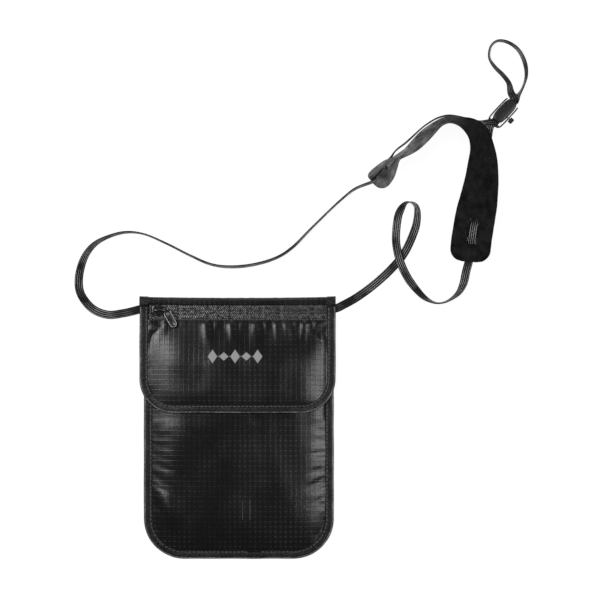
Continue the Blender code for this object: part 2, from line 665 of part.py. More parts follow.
def make_lock(plastic, dark, steel):
    half = LOCK_HEIGHT / 2
    inner_half = LOCK_WIDTH / 2 - LOCK_SIDE_WALL
    channel = box("lock_channel", (-LOCK_LENGTH, -inner_half, LOCK_WALL),
                  (LOCK_LENGTH, inner_half, LOCK_HEIGHT - LOCK_WALL), dark)
    window = box("lock_window", (-3.4 * MM, -LOCK_WIDTH, half - 1.1 * MM),
                 (-0.8 * MM, 0, half + 1.1 * MM), dark)
    for cutter in (channel, window):
        COLLECTION.objects.unlink(cutter)
        CUTTERS.objects.link(cutter)
        cutter.hide_render = True
        cutter.display_type = "WIRE"
        place(cutter, LOCK_CENTRE, LOCK_ANGLE)
    for name, low, high in (("lock_shell_lower", 0.05 * MM, half - 0.15 * MM),
                            ("lock_shell_upper", half + 0.15 * MM, LOCK_HEIGHT)):
        shell = flat_outline(name, lock_outline(LOCK_LENGTH, LOCK_WIDTH), high - low, plastic)
        depsgraph = bpy.context.evaluated_depsgraph_get()
        mesh = bpy.data.meshes.new_from_object(shell.evaluated_get(depsgraph))
        bpy.data.objects.remove(shell)
        bm = bmesh.new()
        bm.from_mesh(mesh)
        bmesh.ops.remove_doubles(bm, verts=bm.verts, dist=0.01 * MM)
        bm.to_mesh(mesh)
        bm.free()
        solid = bpy.data.objects.new(name, mesh)
        COLLECTION.objects.link(solid)
        place(solid, LOCK_CENTRE + Vector((0, 0, (low + high) / 2)), LOCK_ANGLE)
        cut(solid, channel)
        cut(solid, window)
    make_lock_clip(plastic)
    button = box("lock_button", (-3.8 * MM, -9.4 * MM, 1.2 * MM), (-0.4 * MM, -6.6 * MM, 4.8 * MM), dark)
    stem = box("button_stem", (-2.5 * MM, -8.0 * MM, half - 0.4 * MM),
               (-1.7 * MM, -4.1 * MM, half + 0.4 * MM), dark)
    COLLECTION.objects.unlink(stem)
    CUTTERS.objects.link(stem)
    stem.hide_render = True
    stem.display_type = "WIRE"
    bevel(button, 0.4 * MM)
    join = button.modifiers.new("stem", "BOOLEAN")
    join.operation = "UNION"
    join.solver = "EXACT"
    join.object = stem
    for piece in (button, stem):
        place(piece, LOCK_CENTRE, LOCK_ANGLE)
    make_lock_spring(steel)


def make_lock_clip(plastic):
    """Foot under the strands with an arm along each side of the shells."""
    reach, inner, outer = 8.6 * MM, LOCK_WIDTH / 2 + 0.4 * MM, LOCK_WIDTH / 2 + 1.4 * MM
    foot_in, foot_out = -LOCK_LENGTH / 2 - 0.4 * MM, -LOCK_LENGTH / 2 - 2.6 * MM
    outline = [(foot_out, -outer + 2 * MM), (foot_out + 2 * MM, -outer), (reach, -outer),
               (reach + 1 * MM, -inner - 0.3 * MM),
               (reach, -inner), (foot_in, -inner), (foot_in, inner), (reach, inner),
               (reach + 1 * MM, inner + 0.3 * MM), (reach, outer), (foot_out + 2 * MM, outer),
               (foot_out, outer - 2 * MM)]
    clip = flat_outline("lock_clip", outline, 1.0 * MM, plastic)
    place(clip, LOCK_CENTRE + Vector((0, 0, 0.55 * MM)), LOCK_ANGLE)


def make_lock_spring(steel):
    """Small coil spring between the shells' side and the button."""
    turns, per_turn, radius = 3, 8, 0.8 * MM
    start, end = -LOCK_WIDTH / 2 - 0.45 * MM, -6.2 * MM
    curve = bpy.data.curves.new("lock_spring", "CURVE")
    curve.dimensions = "3D"
    curve.bevel_depth = 0.16 * MM
    curve.bevel_resolution = 1
    curve.use_fill_caps = True
    spline = curve.splines.new("POLY")
    count = turns * per_turn
    spline.points.add(count)
    for i, point in enumerate(spline.points):
        turn = 2 * math.pi * i / per_turn
        point.co = (-2.1 * MM + radius * math.cos(turn), start + (end - start) * i / count,
                    LOCK_HEIGHT / 2 + radius * math.sin(turn), 1)
    spring = bpy.data.objects.new("lock_spring", curve)
    COLLECTION.objects.link(spring)
    curve.materials.append(steel)
    place(spring, LOCK_CENTRE, LOCK_ANGLE)


def main():
    cloth = material("ripstop", (0.018, 0.018, 0.02), 0.45)
    lining = material("lining", (0.03, 0.03, 0.033), 0.6)
    tape = material("grosgrain", (0.014, 0.014, 0.015), 0.6)
    hook = material("hook_and_loop", (0.02, 0.02, 0.02), 0.9)
    ink = material("print", (0.5, 0.5, 0.5), 0.5)
    coil = material("zip_coil", (0.012, 0.012, 0.012), 0.35)
    metal = material("slider_enamel", (0.01, 0.01, 0.01), 0.2, 0.6)
    felt = material("brushed_felt", (0.012, 0.012, 0.012), 0.95)
    webbing = material("webbing", (0.02, 0.02, 0.02), 0.65)
    plastic = material("moulded_plastic", (0.015, 0.015, 0.015), 0.4)
    dark = material("button_plastic", (0.01, 0.01, 0.01), 0.45)
    steel = material("spring_steel", (0.45, 0.45, 0.45), 0.3, 1.0)
    make_pouch(cloth, tape, hook)
    make_flap(cloth, lining, tape, ink)
    make_zip(tape, coil, metal)
    make_slider(metal)
    make_pull_tab(metal)
    make_pad(felt)
    make_strap(webbing)
    make_lock(plastic, dark, steel)


main()
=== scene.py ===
"""Looks of the neck pouch wallet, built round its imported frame."""
import json
import math

import bmesh
import bpy
from mathutils import Matrix, Vector, noise


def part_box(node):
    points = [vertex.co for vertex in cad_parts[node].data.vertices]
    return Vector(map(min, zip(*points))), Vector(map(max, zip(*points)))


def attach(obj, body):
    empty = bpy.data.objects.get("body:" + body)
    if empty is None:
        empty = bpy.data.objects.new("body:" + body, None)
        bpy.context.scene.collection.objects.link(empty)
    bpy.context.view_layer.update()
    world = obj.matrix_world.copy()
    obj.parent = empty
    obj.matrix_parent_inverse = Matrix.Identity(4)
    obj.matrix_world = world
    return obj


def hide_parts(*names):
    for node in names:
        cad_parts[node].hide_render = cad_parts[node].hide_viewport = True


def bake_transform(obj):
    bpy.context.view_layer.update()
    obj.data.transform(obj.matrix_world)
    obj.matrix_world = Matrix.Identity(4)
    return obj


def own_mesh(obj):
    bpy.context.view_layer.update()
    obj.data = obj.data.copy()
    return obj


MM = 0.001
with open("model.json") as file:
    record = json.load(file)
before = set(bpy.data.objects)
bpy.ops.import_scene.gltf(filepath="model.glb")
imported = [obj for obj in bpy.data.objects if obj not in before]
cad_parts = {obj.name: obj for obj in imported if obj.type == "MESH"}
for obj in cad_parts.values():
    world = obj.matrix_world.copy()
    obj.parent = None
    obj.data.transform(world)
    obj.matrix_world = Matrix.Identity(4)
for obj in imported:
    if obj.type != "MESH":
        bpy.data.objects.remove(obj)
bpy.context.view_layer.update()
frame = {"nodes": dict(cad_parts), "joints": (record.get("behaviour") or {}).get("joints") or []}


# ------------------------------------------------------------ places read from the frame

def corners(node):
    """Lowest and highest corners of a CAD node, in millimetres."""
    low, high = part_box(node)
    return low / MM, high / MM


BODY_LOW, BODY_HIGH = corners("body_binding")
FLAP_LOW, FLAP_HIGH = corners("flap_binding")
FRONT_LOW, FRONT_HIGH = corners("front_panel")
PANEL_LOW, PANEL_HIGH = corners("flap_panel")
LINING_LOW, LINING_HIGH = corners("flap_lining")
BACK_LOW, BACK_HIGH = corners("back_panel")
FOLD_HIGH = corners("flap_fold_strip")[1]
TAPE_UP_LOW, TAPE_UP_HIGH = corners("zip_tape_upper")
TAPE_DOWN_LOW = corners("zip_tape_lower")[0]
SLIDER_LOW, SLIDER_HIGH = corners("zip_slider")
EMBLEM_LOW, EMBLEM_HIGH = corners("flap_emblem")
JOINTS = {joint["name"]: joint for joint in frame["joints"]}
HINGE = Vector(JOINTS["flap_hinge"]["pos_m"]) / MM
TAB_ROOT = Vector(JOINTS["pull_tab_hinge"]["pos_m"]) / MM
LOCK_AXIS = Vector(JOINTS["lock_slide"]["axis"])

# Shape rules that the CAD source has too, in millimetres
BODY_RADIUS, FLAP_RADIUS = 29.0, 24.0
BINDING_WIDTH, BINDING_OUTER_Z = 6.0, 2.5
FULLNESS, EDGE_HALF_WIDTH = 4.6, 61.5
EDGE_FOOT_Y, EDGE_TOP_Y = -88.0, 77.5
SEAM_Y = 83.5

# Where the cushion is at its fullest, and the areas that fold: left, right, foot, top
FULL_FOOT_Y, SETTLED_Y = -56.0, 42.0
BODY_AREA = (-62, 63, -88, 30)
FLAP_AREA = (-62, 62, 18, 76)
FLAP_FOOT_AREA = (-58, 58, 12, 99)

# Cloth simulation: its scale and steps, and the held margin and the largest move kept in millimetres
SIMULATED_MM, SIMULATED_STEPS = 0.01, 24
HELD_MARGIN, HIGHEST_MOVE = 5.2, 0.9
CLOTH_SETTINGS = {"quality": 5, "mass": 0.2, "tension_stiffness": 20, "compression_stiffness": 20,
                  "shear_stiffness": 8, "bending_stiffness": 0.08, "use_pressure": True,
                  "uniform_pressure_force": 0.8, "shrink_min": -0.016, "shrink_max": -0.016}


# ------------------------------------------------------------ mesh helpers

def make_object(name, mesh, material, smooth=True):
    obj = bpy.data.objects.new(name, mesh)
    bpy.context.scene.collection.objects.link(obj)
    mesh.materials.append(material)
    if smooth:
        mesh.shade_smooth()
    return obj


def face_outward(mesh):
    bm = bmesh.new()
    bm.from_mesh(mesh)
    bmesh.ops.recalc_face_normals(bm, faces=bm.faces)
    bm.to_mesh(mesh)
    bm.free()


def belongs(obj, body, source=None):
    """Tie a piece to its moving body, and hide the CAD node that it stands for."""
    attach(obj, body)
    if source is not None:
        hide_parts(source)


def skin(name, rows, material, wrap=False, caps=False, outward=True):
    """A surface through rows of points in millimetres, with UVs in millimetres: u along, v across."""
    width = len(rows[0])
    columns = width if wrap else width - 1
    verts = [Vector(p) * MM for row in rows for p in row]
    along = [0.0]
    for a, b in zip(rows, rows[1:]):
        mid_a, mid_b = Vector(a[width // 2]), Vector(b[width // 2])
        along.append(along[-1] + (mid_b - mid_a).length)
    longest = max(rows, key=lambda row: (Vector(row[0]) - Vector(row[width // 2])).length)
    across = [0.0]
    for a, b in zip(longest, longest[1:] + longest[:1]):
        across.append(across[-1] + (Vector(b) - Vector(a)).length)
    faces, uvs = [], []
    for i in range(len(rows) - 1):
        for j in range(columns):
            k = (j + 1) % width
            faces.append((i * width + j, i * width + k, (i + 1) * width + k, (i + 1) * width + j))
            uvs += [(along[i], across[j]), (along[i], across[j + 1]),
                    (along[i + 1], across[j + 1]), (along[i + 1], across[j])]
    if caps:
        last = (len(rows) - 1) * width
        faces.append(tuple(reversed(range(width))))
        faces.append(tuple(range(last, last + width)))
        uvs += [(0.0, across[j]) for j in reversed(range(width))]
        uvs += [(along[-1], across[j]) for j in range(width)]
    mesh = bpy.data.meshes.new(name)
    mesh.from_pydata(verts, [], faces)
    layer = mesh.uv_layers.new(name="UVMap")
    for loop, uv in zip(layer.data, uvs):
        loop.uv = uv
    if outward:
        face_outward(mesh)
    return make_object(name, mesh, material)


def thicken(obj, thickness):
    mod = obj.modifiers.new("thickness", "SOLIDIFY")
    mod.thickness = thickness * MM
    mod.offset = 0
    mod.use_even_offset = False


def soften(obj, width, segments=3, angle=35):
    mod = obj.modifiers.new("rounding", "BEVEL")
    mod.width = width * MM
    mod.segments = segments
    mod.limit_method = "ANGLE"
    mod.angle_limit = math.radians(angle)


def ease(t):
    t = min(max(t, 0.0), 1.0)
    return t * t * (3 - 2 * t)


def wave(x, y, size, seed):
    """Smooth noise between about -1 and 1, with features of the given size in millimetres."""
    return noise.noise(Vector((x / size, y / size, seed * 7.3)))


def bump_at(x, centre, width):
    return math.exp(-((x - centre) / width) ** 2)


# ------------------------------------------------------------ the cloth's shape

def rise(x, y):
    """How far the full pocket lifts the cloth: a cushion that falls fastest beside its seams."""
    across = 1 - min(abs(x) / EDGE_HALF_WIDTH, 1.0) ** 3.2
    foot = 1 - min(max((FULL_FOOT_Y - y) / (FULL_FOOT_Y - EDGE_FOOT_Y), 0.0), 1.0) ** 2.2
    top = ease((EDGE_TOP_Y - y) / (EDGE_TOP_Y - SETTLED_Y))
    return FULLNESS * across * foot * top


def inside(x, y, area, margin):
    """0 at an area's edges, 1 further in than the margin."""
    left, right, foot, top = area
    edge = min(x - left, right - x, y - foot, top - y)
    return ease(edge / margin)


def body_folds(x, y):
    """Soft vertical and slanting folds of the pocket's front, and puckers beside its bindings."""
    free = inside(x, y, BODY_AREA, 16)
    slant = 0.75 * wave(x * 1.6 + y * 0.35, y * 0.45, 26, 1)
    broad = 0.9 * wave(x, y * 0.6, 48, 2)
    side = 0.55 * bump_at(x, -52, 5) * (0.5 + wave(0, y, 22, 3))
    side += 0.5 * bump_at(x, 54, 5) * (0.5 + wave(5, y, 26, 4))
    corner = 0.9 * bump_at(x + 0.7 * y, -88, 7) * bump_at(y, -62, 24)
    left, right, foot, _ = BODY_AREA
    near = ease((x - left) / 5) * ease((right - x) / 5) * ease((y - foot) / 5)
    pucker = 0.16 * math.sin(y / 2.6 + 2 * wave(0, y, 14, 6)) * (bump_at(x, -60.5, 4) + bump_at(x, 61.5, 4))
    return free * (slant + broad) + near * (side + corner) + pucker * near


# Puckers under the zip: centre across, width, how far each reaches down, and its height
PUCKERS = ((-51, 2.2, 12, 0.5), (-38, 2.0, 10, 0.4), (-23, 2.3, 26, 1.0), (-14, 1.7, 11, 0.5),
           (-5, 2.4, 24, 1.0), (4, 1.8, 12, 0.5), (12.5, 2.3, 26, 0.9), (20, 1.7, 12, 0.6),
           (27, 1.9, 22, 0.9), (34, 2.0, 26, 0.9), (41, 1.6, 12, 0.6), (48, 2.2, 24, 1.0), (56, 1.7, 14, 0.6))


def flap_folds(x, y):
    """Puckers that hang from the zip, and slow waves below them."""
    top = PANEL_HIGH.y
    drop = top - y
    total = 0.0
    for centre, width, reach, height in PUCKERS:
        lean = 0.14 * drop * math.sin(centre)
        total += height * bump_at(x, centre + lean, width * (1 + drop / 30)) * ease(1 - drop / reach)
    total *= ease(drop / 4)
    free = inside(x, y, FLAP_AREA, 14)
    total += free * (0.45 * wave(x * 1.5, y * 0.8, 24, 11) + 0.5 * wave(x + y, y, 46, 12) + 0.25)
    low = 0.35 * bump_at(y, 24, 5) * (0.6 + wave(x, 0, 20, 13)) * inside(x, y, FLAP_FOOT_AREA, 12)
    return total * ease((y - 15) / 4) + low


def body_height(x, y):
    return FRONT_LOW.z + 0.2 + rise(x, y) + body_folds(x, y)


def flap_height(x, y):
    return PANEL_LOW.z + 0.2 + rise(x, y) + max(flap_folds(x, y), -0.15)


def lining_height(x, y):
    return LINING_LOW.z + 0.2 + rise(x, y)


def edge_x(y, side_x, foot, radius, inset):
    sign = math.copysign(1, side_x)
    reach = abs(side_x) - inset
    corner = radius - inset
    drop = foot + radius - y
    if drop > 0:
        drop = min(drop, corner)
        reach -= corner - math.sqrt(max(corner * corner - drop * drop, 0.0))
    return sign * reach


def settled(rows, outline, top):
    """Simulate a slack panel held under its binding, and give the heights that its rows settle at."""
    left, right, foot, radius = outline
    width = len(rows[0])
    points = [Vector(p) for row in rows for p in row]
    faces = [(i * width + j, i * width + j + 1, (i + 1) * width + j + 1, (i + 1) * width + j)
             for i in range(len(rows) - 1) for j in range(width - 1)]
    mesh = bpy.data.meshes.new("settling")
    mesh.from_pydata([p * SIMULATED_MM for p in points], [], faces)
    cloth = bpy.data.objects.new("settling", mesh)
    bpy.context.scene.collection.objects.link(cloth)
    held = cloth.vertex_groups.new(name="held")
    for i, p in enumerate(points):
        from_left = p.x - edge_x(p.y, left, foot, radius, 0)
        from_right = edge_x(p.y, right, foot, radius, 0) - p.x
        if min(from_left, from_right, p.y - foot) < HELD_MARGIN or top - p.y < 0.8:
            held.add([i], 1.0, "REPLACE")
    mod = cloth.modifiers.new("cloth", "CLOTH")
    for key, value in CLOTH_SETTINGS.items():
        setattr(mod.settings, key, value)
    mod.settings.vertex_group_mass = "held"
    mod.settings.effector_weights.gravity = 0
    mod.collision_settings.use_collision = False
    mod.point_cache.frame_start = 1
    mod.point_cache.frame_end = SIMULATED_STEPS
    for number in range(1, SIMULATED_STEPS + 1):
        bpy.context.scene.frame_set(number)
    shape = cloth.evaluated_get(bpy.context.evaluated_depsgraph_get())
    heights = [v.co.z / SIMULATED_MM for v in shape.data.vertices]
    bpy.context.scene.frame_set(1)
    bpy.data.objects.remove(cloth)
    return [[heights[i * width + j] for j in range(width)] for i in range(len(rows))]


def height_sampler(rows):
    """Height at any x, y of a panel, between its rows' points."""
    def sample(x, y):
        i = 1
        while i < len(rows) - 1 and rows[i][0][1] < y:
            i += 1
        found = []
        for row in rows[i - 1:i + 1]:
            left, right = row[0][0], row[-1][0]
            place = min(max((x - left) / (right - left), 0.0), 0.9999) * (len(row) - 1)
            j = int(place)
            found.append(row[j][2] + (row[j + 1][2] - row[j][2]) * (place - j))
        y0, y1 = rows[i - 1][0][1], rows[i][0][1]
        t = min(max((y - y0) / (y1 - y0), 0.0), 1.0)
        return found[0] + (found[1] - found[0]) * t
    return sample


def cloth_panel(name, outline, top, height, material, step=1.6, inset=1.2, thickness=0.4, slack=None):
    """Cloth that fills an outline (left, right, foot, radius) up to top, at the given height.

    Slack gives the lowest move that a simulated fold may make, and the share of it kept at x, y.
    """
    left, right, foot, radius = outline
    corner = radius - inset
    count = 14
    ys = [foot + radius - corner * math.cos(math.pi / 2 * i / count) for i in range(count)]
    more = max(2, round((top - foot - radius) / step))
    ys += [foot + radius + (top - foot - radius) * i / more for i in range(more + 1)]
    across = round((right - left) / step)
    rows = []
    for y in ys:
        a, b = edge_x(y, left, foot, radius, inset), edge_x(y, right, foot, radius, inset)
        xs = [a + (b - a) * j / across for j in range(across + 1)]
        rows.append([(x, y, height(x, y)) for x in xs])
    if slack is not None:
        lowest, share_at = slack
        heights = settled(rows, outline, top)
        for row, found in zip(rows, heights):
            for j, (x, y, z) in enumerate(row):
                move = HIGHEST_MOVE * math.tanh((found[j] - z) / HIGHEST_MOVE) * share_at(x, y)
                row[j] = (x, y, z + max(move, lowest))
    panel = skin(name, rows, material, outward=False)
    thicken(panel, thickness)
    return panel, height_sampler(rows)


def outline_path(outline, top, step=0.8):
    """Points round an outline's left side, foot and right side, each with its outward normal."""
    left, right, foot, radius = outline
    points = []
    side = round((top - foot - radius) / step)
    turn_steps = round(radius * math.pi / 2 / step)
    flat = round((right - left - 2 * radius) / step)
    for i in range(side):
        points.append((left, top - (top - foot - radius) * i / side, -1.0, 0.0))
    for i in range(turn_steps):
        turn = math.pi + math.pi / 2 * i / turn_steps
        nx, ny = math.cos(turn), math.sin(turn)
        points.append((left + radius + radius * nx, foot + radius + radius * ny, nx, ny))
    for i in range(flat):
        points.append((left + radius + (right - left - 2 * radius) * i / flat, foot, 0.0, -1.0))
    for i in range(turn_steps):
        turn = 1.5 * math.pi + math.pi / 2 * i / turn_steps
        nx, ny = math.cos(turn), math.sin(turn)
        points.append((right - radius + radius * nx, foot + radius + radius * ny, nx, ny))
    for i in range(side + 1):
        points.append((right, foot + radius + (top - foot - radius) * i / side, 1.0, 0.0))
    return points


def tape_section(low, high, width):
    """Outer and inner line of a folded tape, as insets from the edge and heights."""
    nose = 0.25
    wall = 0.36
    outer = [(width, high - 0.02), (width * 0.94, high + 0.12), (width * 0.88, high + 0.05),
             (width * 0.82, high - 0.14), (width * 0.76, high + 0.02), (width * 0.64, high + 0.16),
             (width * 0.45, high + 0.22), (width * 0.27, high + 0.14), (nose + 0.55, high - 0.02),
             (nose + 0.15, high - 0.22), (nose * 0.4, high - 0.5), (nose * 0.4, low + 0.4), (nose + 0.3, low),
             (width * 0.5, low), (width, low)]
    inner = [(width, low + wall), (width * 0.5, low + wall), (nose + 0.9, low + wall),
             (nose + 0.7, low + 0.7), (nose + 0.7, high - 0.7), (nose + 0.9, high - wall),
             (width * 0.5, high - wall + 0.1), (width, high - wall)]
    return outer + inner


def folded_tape(name, outline, top, low, high, flat_below, material, seed, overlap_at=None):
    """Binding tape folded over an outline, a little uneven as sewn tape is."""
    path = outline_path(outline, top)
    rows = []
    for i, (x, y, nx, ny) in enumerate(path):
        width = BINDING_WIDTH + 0.3 * wave(i, 0, 17, seed)
        out = 0.22 * wave(i, 0, 23, seed + 1)
        lift = 0.0
        if overlap_at is not None and y < outline[2] + 1:
            lift = 0.4 * ease((x - overlap_at[0]) / 0.8) * ease((overlap_at[1] - x) / 0.8)
        turning = 4 * (nx * ny) ** 2
        gather = (0.07 + 0.2 * turning) * wave(i, 0, 1.9, seed + 2) + 0.1 * turning * math.sin(1.75 * i)
        row = []
        for inset, z in tape_section(low, high, width):
            px, py = x - nx * (inset - out), y - ny * (inset - out)
            upper = z > (low + high) / 2
            if upper and inset > 1:
                z += gather
            gain = 0.0 if flat_below and not upper else rise(px, py)
            row.append((px, py, z + gain + (lift if upper else 0.0)))
        rows.append(row)
    return skin(name, rows, material, wrap=True, caps=True)


def stitches(name, points, body, pitch=2.9, length=2.3, radius=0.2):
    """A row of thread stitches along a line of points in millimetres."""
    verts, faces = [], []
    sides = 6
    profile = ((-0.5, 0.3), (-0.36, 0.85), (0.0, 1.0), (0.36, 0.85), (0.5, 0.3))
    distance, target = 0.0, pitch / 2
    for a, b in zip(points, points[1:]):
        a, b = Vector(a), Vector(b)
        reach = (b - a).length
        while distance + reach >= target and reach > 0:
            centre = a.lerp(b, (target - distance) / reach)
            along = (b - a).normalized()
            side = along.cross(Vector((0, 0, 1))).normalized()
            up = side.cross(along)
            start = len(verts)
            for t, r in profile:
                for k in range(sides):
                    turn = 2 * math.pi * k / sides
                    offset = side * math.cos(turn) * radius * r + up * math.sin(turn) * radius * r * 0.8
                    verts.append((centre + along * (t * length) + offset) * MM)
            for ring in range(len(profile) - 1):
                for k in range(sides):
                    p, q = start + ring * sides + k, start + ring * sides + (k + 1) % sides
                    faces.append((p, q, q + sides, p + sides))
            faces.append(tuple(start + k for k in reversed(range(sides))))
            faces.append(tuple(start + (len(profile) - 1) * sides + k for k in range(sides)))
            target += pitch
        distance += reach
    mesh = bpy.data.meshes.new(name)
    mesh.from_pydata(verts, [], faces)
    face_outward(mesh)
    belongs(make_object(name, mesh, THREAD), body)


# ------------------------------------------------------------ materials

class Shade:
    """A value in a material's node tree that adds and multiplies like a number."""

    def __init__(self, tree, socket):
        self.tree = tree
        self.socket = socket

    def combined(self, operation, other=0.0):
        return output(self.tree, "ShaderNodeMath", {0: self, 1: other}, operation=operation)

    def __add__(self, other):
        return self.combined("ADD", other)

    def __sub__(self, other):
        return self.combined("SUBTRACT", other)

    def __mul__(self, other):
        return self.combined("MULTIPLY", other)

    def remap(self, low, high, at_low, at_high):
        return output(self.tree, "ShaderNodeMapRange", {0: self, 1: low, 2: high, 3: at_low, 4: at_high})

    def lines(self, pitch, sharp_low, sharp_high):
        """1 on thin lines a pitch apart along this coordinate, 0 between them."""
        away = ((self * (1 / pitch)).combined("FRACT") - 0.5).combined("ABSOLUTE")
        return away.remap(sharp_low, sharp_high, 1.0, 0.0)

    def off(self, place):
        return (self - place).combined("ABSOLUTE")

    def grains(self, scale, detail=3.0, rough=0.6):
        settings = {"Vector": self, "Scale": scale, "Detail": detail, "Roughness": rough}
        return output(self.tree, "ShaderNodeTexNoise", settings)

    def stretched(self, scale):
        return output(self.tree, "ShaderNodeMapping", {0: self, 3: scale})

    def axes(self):
        split = output(self.tree, "ShaderNodeSeparateXYZ", {0: self}).socket.node
        return [Shade(self.tree, socket) for socket in split.outputs]


def output(tree, kind, inputs, **settings):
    """First output of a new shader node; an input is a number or another node's Shade."""
    made = tree.nodes.new(kind)
    for key, value in settings.items():
        setattr(made, key, value)
    for key, value in inputs.items():
        if isinstance(value, Shade):
            tree.links.new(value.socket, made.inputs[key])
        else:
            made.inputs[key].default_value = value
    return Shade(tree, made.outputs[0])


class Recipe:
    """A material in the making: its tree, its shader and what is plugged into them."""

    def __init__(self, name, roughness, specular=0.5, metallic=0.0, sheen=0.0, sheen_roughness=0.5, coat=0.0):
        self.material = bpy.data.materials.new(name)
        self.material.use_nodes = True
        self.tree = self.material.node_tree
        self.shader = self.tree.nodes["Principled BSDF"]
        values = {"Roughness": roughness, "Specular IOR Level": specular, "Metallic": metallic,
                  "Sheen Weight": sheen, "Sheen Roughness": sheen_roughness, "Coat Weight": coat}
        for key, value in values.items():
            self.shader.inputs[key].default_value = value

    def coordinates(self, kind):
        made = self.tree.nodes.new("ShaderNodeTexCoord")
        return Shade(self.tree, made.outputs[kind])

    def plug(self, key, shade):
        self.tree.links.new(shade.socket, self.shader.inputs[key])

    def colour(self, factor, dark, light):
        mix = output(self.tree, "ShaderNodeMix", {0: factor}, data_type="RGBA").socket.node
        mix.inputs[6].default_value = (*dark, 1)
        mix.inputs[7].default_value = (*light, 1)
        self.plug("Base Color", Shade(self.tree, mix.outputs[2]))

    def bump(self, height, distance, strength=0.8):
        settings = {"Height": height, "Distance": distance, "Strength": strength}
        self.plug("Normal", output(self.tree, "ShaderNodeBump", settings))


# Pitch of the ripstop's grid and of its plain weave, in metres
GRID_PITCH, WEAVE_PITCH = 0.0036, 0.0005
# Places across a folded tape, in millimetres from its upper inner edge: the sewn groove, where shade is
# painted, and the outer edge, where a highlight is painted
SEWN_LINE, PAINTED_EDGE_HIGHLIGHT = 1.15, 5.3
# How often the zip tape's ribs turn back, and where the pad's wear ends, in millimetres
RIB_TURN = 1.6
WORN_FROM, WORN_TO = 45.0, 85.0


def ripstop(name, dark, light, roughness):
    """Thin plain-weave nylon with a square grid of thicker threads."""
    made = Recipe(name, roughness, 0.45, sheen=0.01, sheen_roughness=0.4)
    place = made.coordinates("Object")
    x, y, _ = place.axes()
    drift = (place.grains(120, 1) - 0.5) * 0.0006
    across = x + drift
    lines_x = across.lines(GRID_PITCH, 0.04, 0.13)
    lines_y = (y + drift).lines(GRID_PITCH, 0.03, 0.1)
    broken = lines_y * across.lines(GRID_PITCH, 0.2, 0.34)
    dashes = (lines_x * 0.18).combined("MAXIMUM", broken)
    patch = place.grains(34, 2)
    grain = place.grains(900, 2)
    shown = patch.remap(0.38, 0.68, 0.12, 1.0)
    made.colour(dashes * shown * grain + grain.combined("POWER", 3.0) * 0.2, dark, light)
    weave = (x.lines(WEAVE_PITCH, 0.0, 0.5) + y.lines(WEAVE_PITCH, 0.0, 0.5)) * 0.25
    made.bump(lines_x.combined("MAXIMUM", lines_y) + weave + grain * 0.6, 0.00004, 0.7)
    made.plug("Roughness", patch.remap(0.3, 0.7, roughness - 0.05, roughness + 0.06))
    return made.material


def ribbed(name, dark, light, pitch, roughness):
    """Binding tape: ribs a pitch apart (in mm on the UVs), painted shade along the sewn groove and a painted
    highlight along the rounded outer edge.
    """
    made = Recipe(name, roughness, 0.22, sheen=0.02)
    uv = made.coordinates("UV")
    along, across, _ = uv.axes()
    grain = uv.grains(0.8).remap(0.4, 0.64, 0.05, 1.0)
    fleck = along.lines(pitch, 0.0, 0.45) * grain
    patchy = uv.grains(0.09, 2).remap(0.35, 0.65, 0.35, 1.0)
    # Painted shade: the colour darkens along the sewn groove.
    sewn = across.off(SEWN_LINE).remap(0.4, 0.8, 0.0, 1.0)
    # Painted highlight: a pale band along the tape's rounded outer edge.
    edge = across.off(PAINTED_EDGE_HIGHLIGHT).remap(0.1, 0.5, 1.0, 0.0) * (grain * 0.8 + 0.25)
    made.colour((fleck * 0.2 * sewn + edge) * patchy, dark, light)
    made.bump(fleck + grain, 0.00006)
    return made.material


def webbing(name, dark, light, lines_apart, ticks_apart):
    """Woven ribbon of near-black yarn: painted highlights as pale lines along its lengthwise ribs, ticked
    where the weft crosses.
    """
    made = Recipe(name, 0.34, 0.12, sheen=0.02)
    uv = made.coordinates("UV")
    along, across, _ = uv.axes()
    # Painted highlights: pale lines along the ribs, shown in patches and ticked by the weft.
    lines = across.lines(lines_apart, 0.04, 0.17)
    ticks = along.lines(ticks_apart, 0.12, 0.4)
    shown = uv.grains(0.045, 2).remap(0.4, 0.58, 0.05, 1.0)
    made.colour(lines * (ticks * 0.5 + 0.5) * shown, dark, light)
    made.bump(lines + ticks, 0.00008)
    return made.material


def twill(name, dark, light, pitch):
    """Zip tape: fine slanting ribs that turn back every few millimetres, with painted light that is brightest
    at the left end and dims towards the right.
    """
    made = Recipe(name, 0.5, 0.22, sheen=0.02)
    uv = made.coordinates("UV")
    along, across, _ = uv.axes()
    ribs = (along + across.combined("PINGPONG", RIB_TURN)).lines(pitch, 0.05, 0.3)
    grain = uv.stretched((0.5, 1.0, 1.0)).grains(0.75).remap(0.42, 0.6, 0.05, 1.0)
    # Painted light: the flecks are brightest at the tape's left end and dim to 0.6 of that towards the right.
    fleck = ribs * grain * along.remap(20.0, 100.0, 1.0, 0.6)
    made.colour(fleck, dark, light)
    made.bump(fleck + ribs, 0.00006)
    return made.material


def felt(name, dark, light, worn):
    """Brushed pile: short fibres lying one way, and paler rubbed patches towards a worn end."""
    made = Recipe(name, 0.95, 0.05, sheen=0.015, sheen_roughness=0.6)
    place = made.coordinates("Object")
    fibres = place.stretched((1.0, 0.35, 1.0)).grains(1600, 4, 0.75)
    tint = fibres.combined("POWER", 1.5)
    if worn:
        rubbed = place.grains(150).remap(0.34, 0.68, 0.2, 1.0)
        along = made.coordinates("UV").axes()[0]
        tint = tint * rubbed * along.remap(WORN_FROM, WORN_TO, 1.0, 0.06)
    made.colour(tint, dark, light)
    made.bump(fibres, 0.00012)
    return made.material


